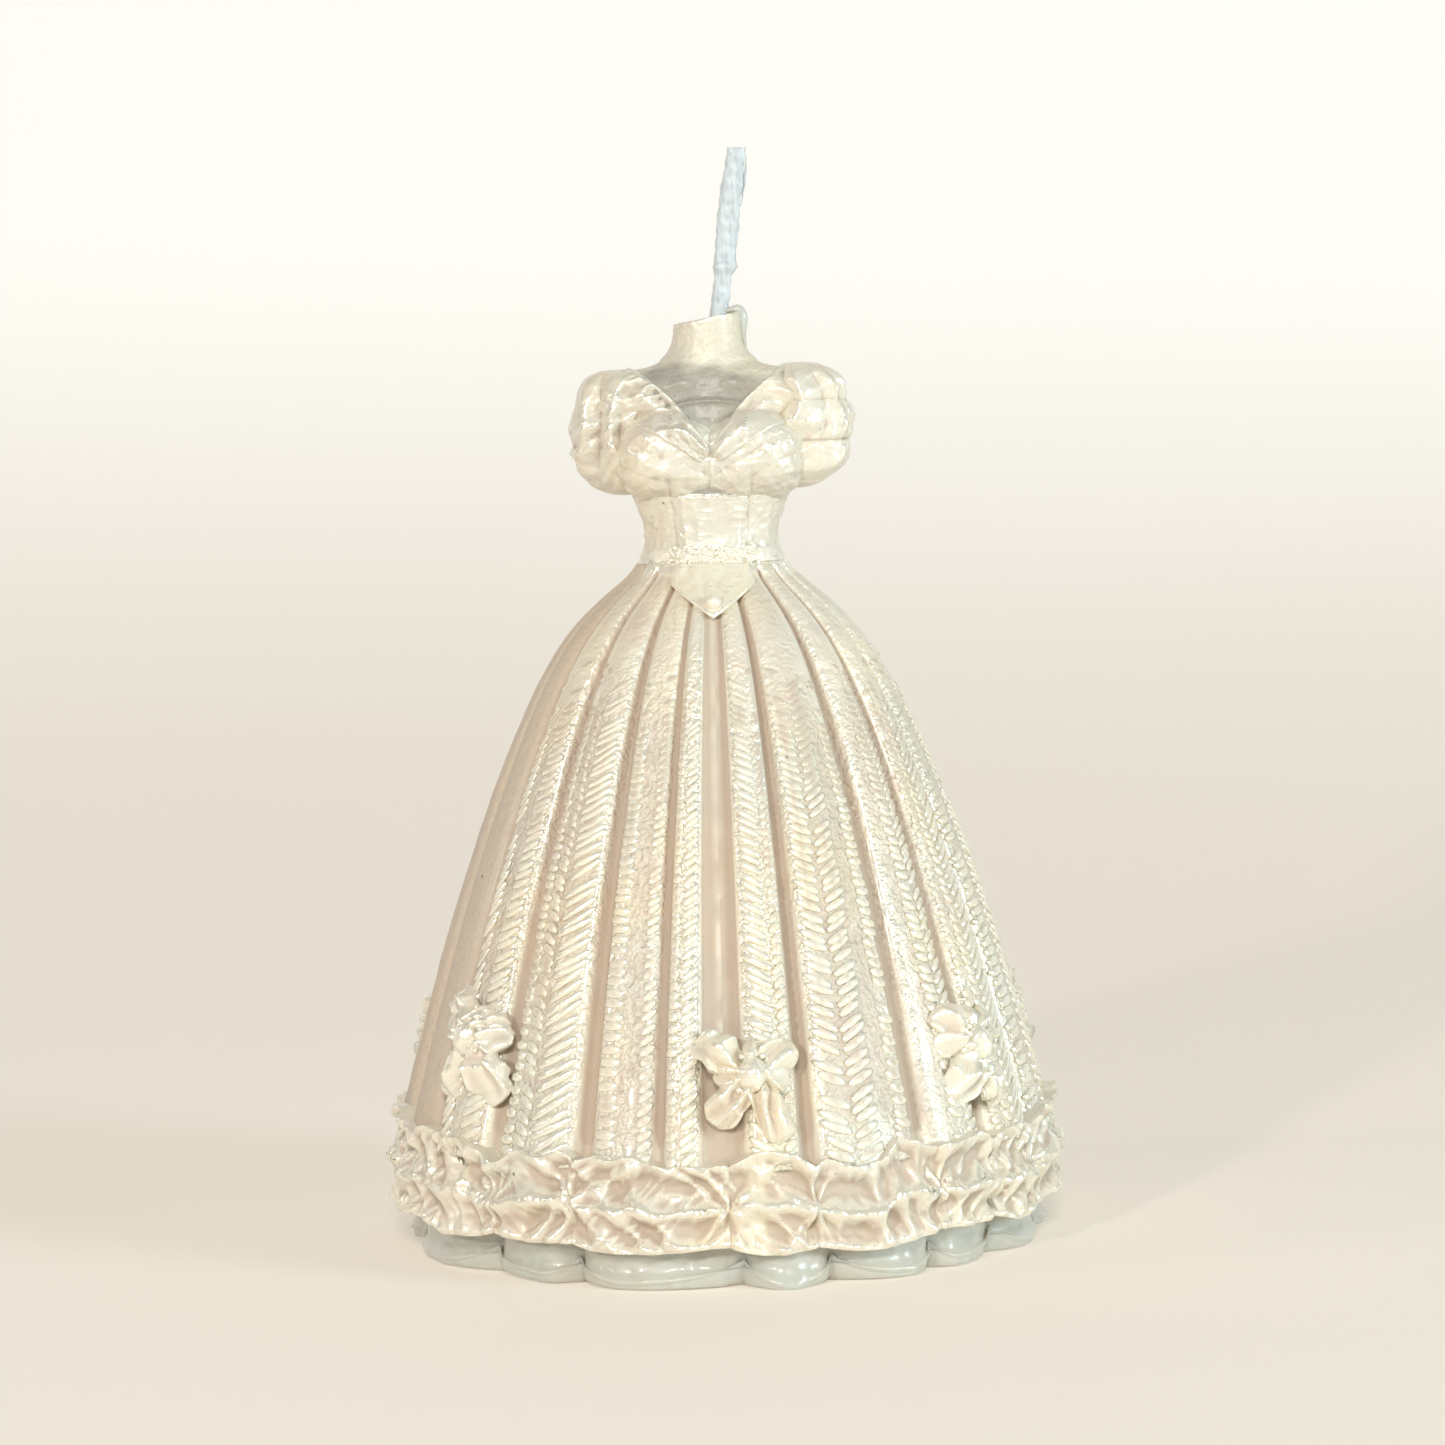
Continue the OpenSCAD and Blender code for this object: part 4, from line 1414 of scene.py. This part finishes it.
class CANDLE_OT_wick(bpy.types.Operator):
    """Add the primed wick, pressed flat and bent above the neck, and the run of wax at its foot"""

    bl_idname = "candle.wick"
    bl_label = "Wick"

    def execute(self, context):
        rows = 260
        lean = math.tan(math.radians(0.7))
        bend = math.tan(math.radians(7.3))
        free_z = NECK_Z - 0.3
        heights = free_z + np.array([-3, 0, 3.0, 5.0, 5.9, 6.6, 8.5, 11.5, 13.0, 14.2, 16.5, 19.5])
        wide = np.array([1.2, 1.05, 0.98, 1.0, 1.34, 1.18, 1.2, 1.22, 1.12, 1.22, 1.05, 1.0])

        def where(u, v):
            around = u * 2 * math.pi
            row = np.round(v * rows)
            share = np.clip((row - 1) / (rows - 2), 0, 1)
            # Most rows are in the free top fifth of the wick.
            share = np.where(share < 0.12, share / 0.12 * 0.8, 0.8 + (share - 0.12) / 0.88 * 0.2)
            z = TAB_Z + 0.1 + (TIP_Z - TAB_Z - 0.1) * share
            above = ease(z, free_z - 1, free_z + 3)
            square = 1 / (np.abs(np.cos(around)) ** 5 + np.abs(np.sin(around)) ** 5) ** 0.2
            w = through(z, heights, wide)
            w = np.where(z < free_z - 2.5, 1.2, w) * (1 + above * (square - 1))
            d = w * (1 - 0.22 * above)
            plait = 0.05 * np.sin(z * 4.2 + 2 * np.sin(around)) * above
            rough = above * (0.05 * wander(np.cos(around), np.sin(around), z, 0.6, 101) + plait)
            middle = z * lean + np.maximum(z - free_z, 0) * (bend - lean)
            kink = 0.16 * np.exp(-(((z - free_z - 5.9) / 0.7) ** 2)) - 0.12 * ease(z, free_z + 9, free_z + 12)
            kink = kink + 0.12 * ease(z, free_z + 13, free_z + 16)
            x = middle + kink + (w + rough) * np.cos(around)
            y = (d + rough) * np.sin(around) - 0.1 * above * np.sin(z * 0.5)
            end = (row < 1) | (row > rows - 1)
            tip = 0.25 * (row >= rows - 1) * wander(x, y, 0, 0.5, 102)
            return np.where(end, middle, x), np.where(end, 0, y), z - np.abs(tip)

        parts = [shaped_grid("wick_body", 48, rows, where)]
        # Loose fibres along the right edge near the tip.
        chance = np.random.default_rng(5)
        for k in range(5):
            z0, run = free_z + chance.uniform(12, 16), chance.uniform(1.5, 3.5)
            off, size = chance.uniform(0.95, 1.2), chance.uniform(0.07, 0.13)

            def fibre(u, v, z0=z0, run=run, off=off, size=size):
                around = u * 2 * math.pi
                z = z0 + run * v
                r = size * np.sin(math.pi * v) ** 0.4
                middle = z * lean + (z - free_z) * (bend - lean) + off + 0.18 * np.sin(math.pi * v)
                return middle + r * np.cos(around), -0.3 + r * np.sin(around), z

            parts.append(shaped_grid("wick_fibre", 8, 14, fibre))
        settle(joined("wick", parts), primed_cotton(), "wick", slot="cotton_wick")

        def run(u, v):
            around = u * 2 * math.pi
            along = np.array([0, 0.3, 0.5, 0.75, 1])
            body = np.maximum(np.sin(math.pi * v), 0) ** 0.5
            x = through(v, along, [1.9, 3.3, 3.85, 3.95, 4.2])
            z = NECK_Z + through(v, along, [0.75, 0.85, 0.0, -1.8, -3.6])
            size = through(v, along, [0.5, 0.62, 0.6, 0.42, 0.3]) * body
            size = size * (1 + 0.2 * wander(np.cos(around), np.sin(around), v * 6, 0.9, 103))
            tip = through(v, along, [1.4, 0.9, 0.3, 0.1, 0.0])
            across = size * np.cos(around)
            return x + across * np.cos(tip), -0.7 + size * np.sin(around), z + across * np.sin(tip)

        piece = shaped_grid("wax_run", 28, 26, run)
        settle(piece, bare_wax(), "wax_run", slot="plain_wax")
        return {"FINISHED"}


class CANDLE_OT_tab(bpy.types.Operator):
    """Add the pressed wick tab in the base"""

    bl_idname = "candle.tab"
    bl_label = "Wick tab"

    def execute(self, context):
        collar_r = 1.65
        hole_r = 1.25
        top = high("wick_tab")[2] - TAB_Z
        # Distance from the axis, and height above the tab's underside.
        disc = [
            (hole_r, 0), (TAB_R - 1.4, 0), (TAB_R - 1.0, 0.06), (TAB_R - 0.12, 0), (TAB_R, 0.1),
            (TAB_R, 0.24), (TAB_R - 0.12, 0.3), (TAB_R - 1.0, 0.36), (TAB_R - 1.4, 0.3),
        ]
        collar = [
            (collar_r + 0.5, 0.3), (collar_r, 0.8), (collar_r - 0.03, top - 0.1), (collar_r - 0.1, top),
            (hole_r, top), (hole_r, 0),
        ]
        profile = np.array(disc + collar) + [0, TAB_Z]

        def where(u, v):
            k = np.round(v * (len(profile) - 1)).astype(int)
            r, z = profile[k].T
            x, y = turn(u * 360, r)
            return x + z * math.tan(math.radians(0.7)) * (r < 2), y, z

        piece = shaped_grid("wick_tab", 64, len(profile) - 1, where)
        bpy.ops.object.shade_smooth_by_angle(angle=math.radians(35))
        settle(piece, tinned_sheet(), "wick_tab", slot="tinned_steel")
        return {"FINISHED"}


# ---- stage ----


class CANDLE_OT_stage(bpy.types.Operator):
    """Add the camera, the lights and a plain pale floor with a curved backdrop"""

    bl_idname = "candle.stage"
    bl_label = "Stage"

    def execute(self, context):
        stage = context.scene.stage_settings
        camera = bpy.data.objects.new("camera", bpy.data.cameras.new("camera"))
        context.scene.collection.objects.link(camera)
        camera.data.lens = stage.lens
        camera.data.sensor_width = 36
        camera.data.clip_end = 20
        aim_z = 0.0568
        pitch = math.atan2(stage.height - aim_z, stage.distance)
        camera.location = (0.0007, -stage.distance, stage.height)
        camera.rotation_mode = "QUATERNION"
        turn_down = Matrix.Rotation(math.pi / 2 - pitch, 3, "X")
        camera.rotation_quaternion = (turn_down @ Matrix.Rotation(stage.roll, 3, "Z")).to_quaternion()
        context.scene.camera = camera

        def sweep(u, v):
            x = (u - 0.5) * 4000
            s = v * 3000
            bend, flat = 1100.0, 1000.0
            arc = np.clip(s - bend, 0, flat * math.pi / 2) / flat
            y = -900 + np.minimum(s, bend) + flat * np.sin(arc)
            z = flat * (1 - np.cos(arc)) + np.maximum(s - bend - flat * math.pi / 2, 0)
            return x, y, z

        floor = shaped_grid("floor", 8, 60, sweep)
        nodes = Nodes("backdrop")
        cloud = nodes.noise(1.5)
        rise = nodes.add("ShaderNodeSeparateXYZ", {}, {0: nodes.place()}, output="Z")
        # Painted shade: darker on the floor, and paler up the backdrop, as the light falls on them; both also
        # glow in this colour.
        up = (rise + 0.05 * cloud).between(0.02, 0.15)
        tint = nodes.mix(up, (0.75, 0.69, 0.61, 1), tuple(stage.backdrop))
        sockets = {"Base Color": tint, "Roughness": 0.8, "Emission Color": tint, "Emission Strength": 0.37}
        floor.data.materials.append(nodes.surface(sockets))

        lights = (
            ("key", (0.0, -2.6, 1.35), 0.45, 33.5, (1.0, 0.965, 0.91)),
            ("window", (-1.2, -0.42, 0.55), 0.12, 1.5, (1.0, 0.97, 0.90)),
            ("spark", (-0.34, -0.72, 0.28), 0.05, 1.9, (1.0, 0.98, 0.93)),
            ("cool_fill", (0.95, -0.55, 0.3), 0.4, 6.3, (0.74, 0.94, 1.0)),
        )
        for name, place, size, power, colour in lights:
            lamp = bpy.data.objects.new(name, bpy.data.lights.new(name, "AREA"))
            context.scene.collection.objects.link(lamp)
            lamp.data.shape = "DISK"
            lamp.data.size = size
            lamp.data.energy = power
            lamp.data.color = colour
            lamp.location = place
            away = -lamp.location.copy()
            away.z += 0.06
            lamp.rotation_euler = away.to_track_quat("-Z", "Y").to_euler()
        world = bpy.data.worlds.new("world")
        world.use_nodes = True
        world.node_tree.nodes["Background"].inputs[0].default_value = (1.0, 0.96, 0.90, 1)
        world.node_tree.nodes["Background"].inputs[1].default_value = 0.20
        context.scene.world = world
        context.scene.view_settings.view_transform = "Standard"
        return {"FINISHED"}


class CANDLE_PT_pieces(bpy.types.Panel):
    """Lists the candle's pieces and settings"""

    bl_idname = "CANDLE_PT_pieces"
    bl_label = "Gown candle"
    bl_space_type = "VIEW_3D"
    bl_region_type = "UI"
    bl_category = "Gown candle"

    def draw(self, context):
        for group in (context.scene.gown_sizes, context.scene.wax_colours, context.scene.stage_settings):
            for key in group.__annotations__:
                self.layout.prop(group, key)
        for operator in PIECES:
            self.layout.operator(operator.bl_idname)


PIECES = (
    CANDLE_OT_stage,
    CANDLE_OT_skirt,
    CANDLE_OT_lace,
    CANDLE_OT_petticoat,
    CANDLE_OT_swags,
    CANDLE_OT_bows,
    CANDLE_OT_bust,
    CANDLE_OT_corset,
    CANDLE_OT_cups,
    CANDLE_OT_collar,
    CANDLE_OT_sleeves,
    CANDLE_OT_belt,
    CANDLE_OT_basque,
    CANDLE_OT_wick,
    CANDLE_OT_tab,
)
GROUPS = {"gown_sizes": GownSizes, "wax_colours": WaxColours, "stage_settings": StageSettings}


def register():
    for group in GROUPS.values():
        bpy.utils.register_class(group)
    for name, group in GROUPS.items():
        setattr(bpy.types.Scene, name, bpy.props.PointerProperty(type=group))
    for piece in PIECES:
        bpy.utils.register_class(piece)
    bpy.utils.register_class(CANDLE_PT_pieces)


def unregister():
    bpy.utils.unregister_class(CANDLE_PT_pieces)
    for piece in reversed(PIECES):
        bpy.utils.unregister_class(piece)
    for name, group in reversed(GROUPS.items()):
        delattr(bpy.types.Scene, name)
        bpy.utils.unregister_class(group)


def main():
    register()
    for piece in PIECES:
        family, name = piece.bl_idname.split(".")
        getattr(getattr(bpy.ops, family), name)()


if __name__ == "__main__":
    main()
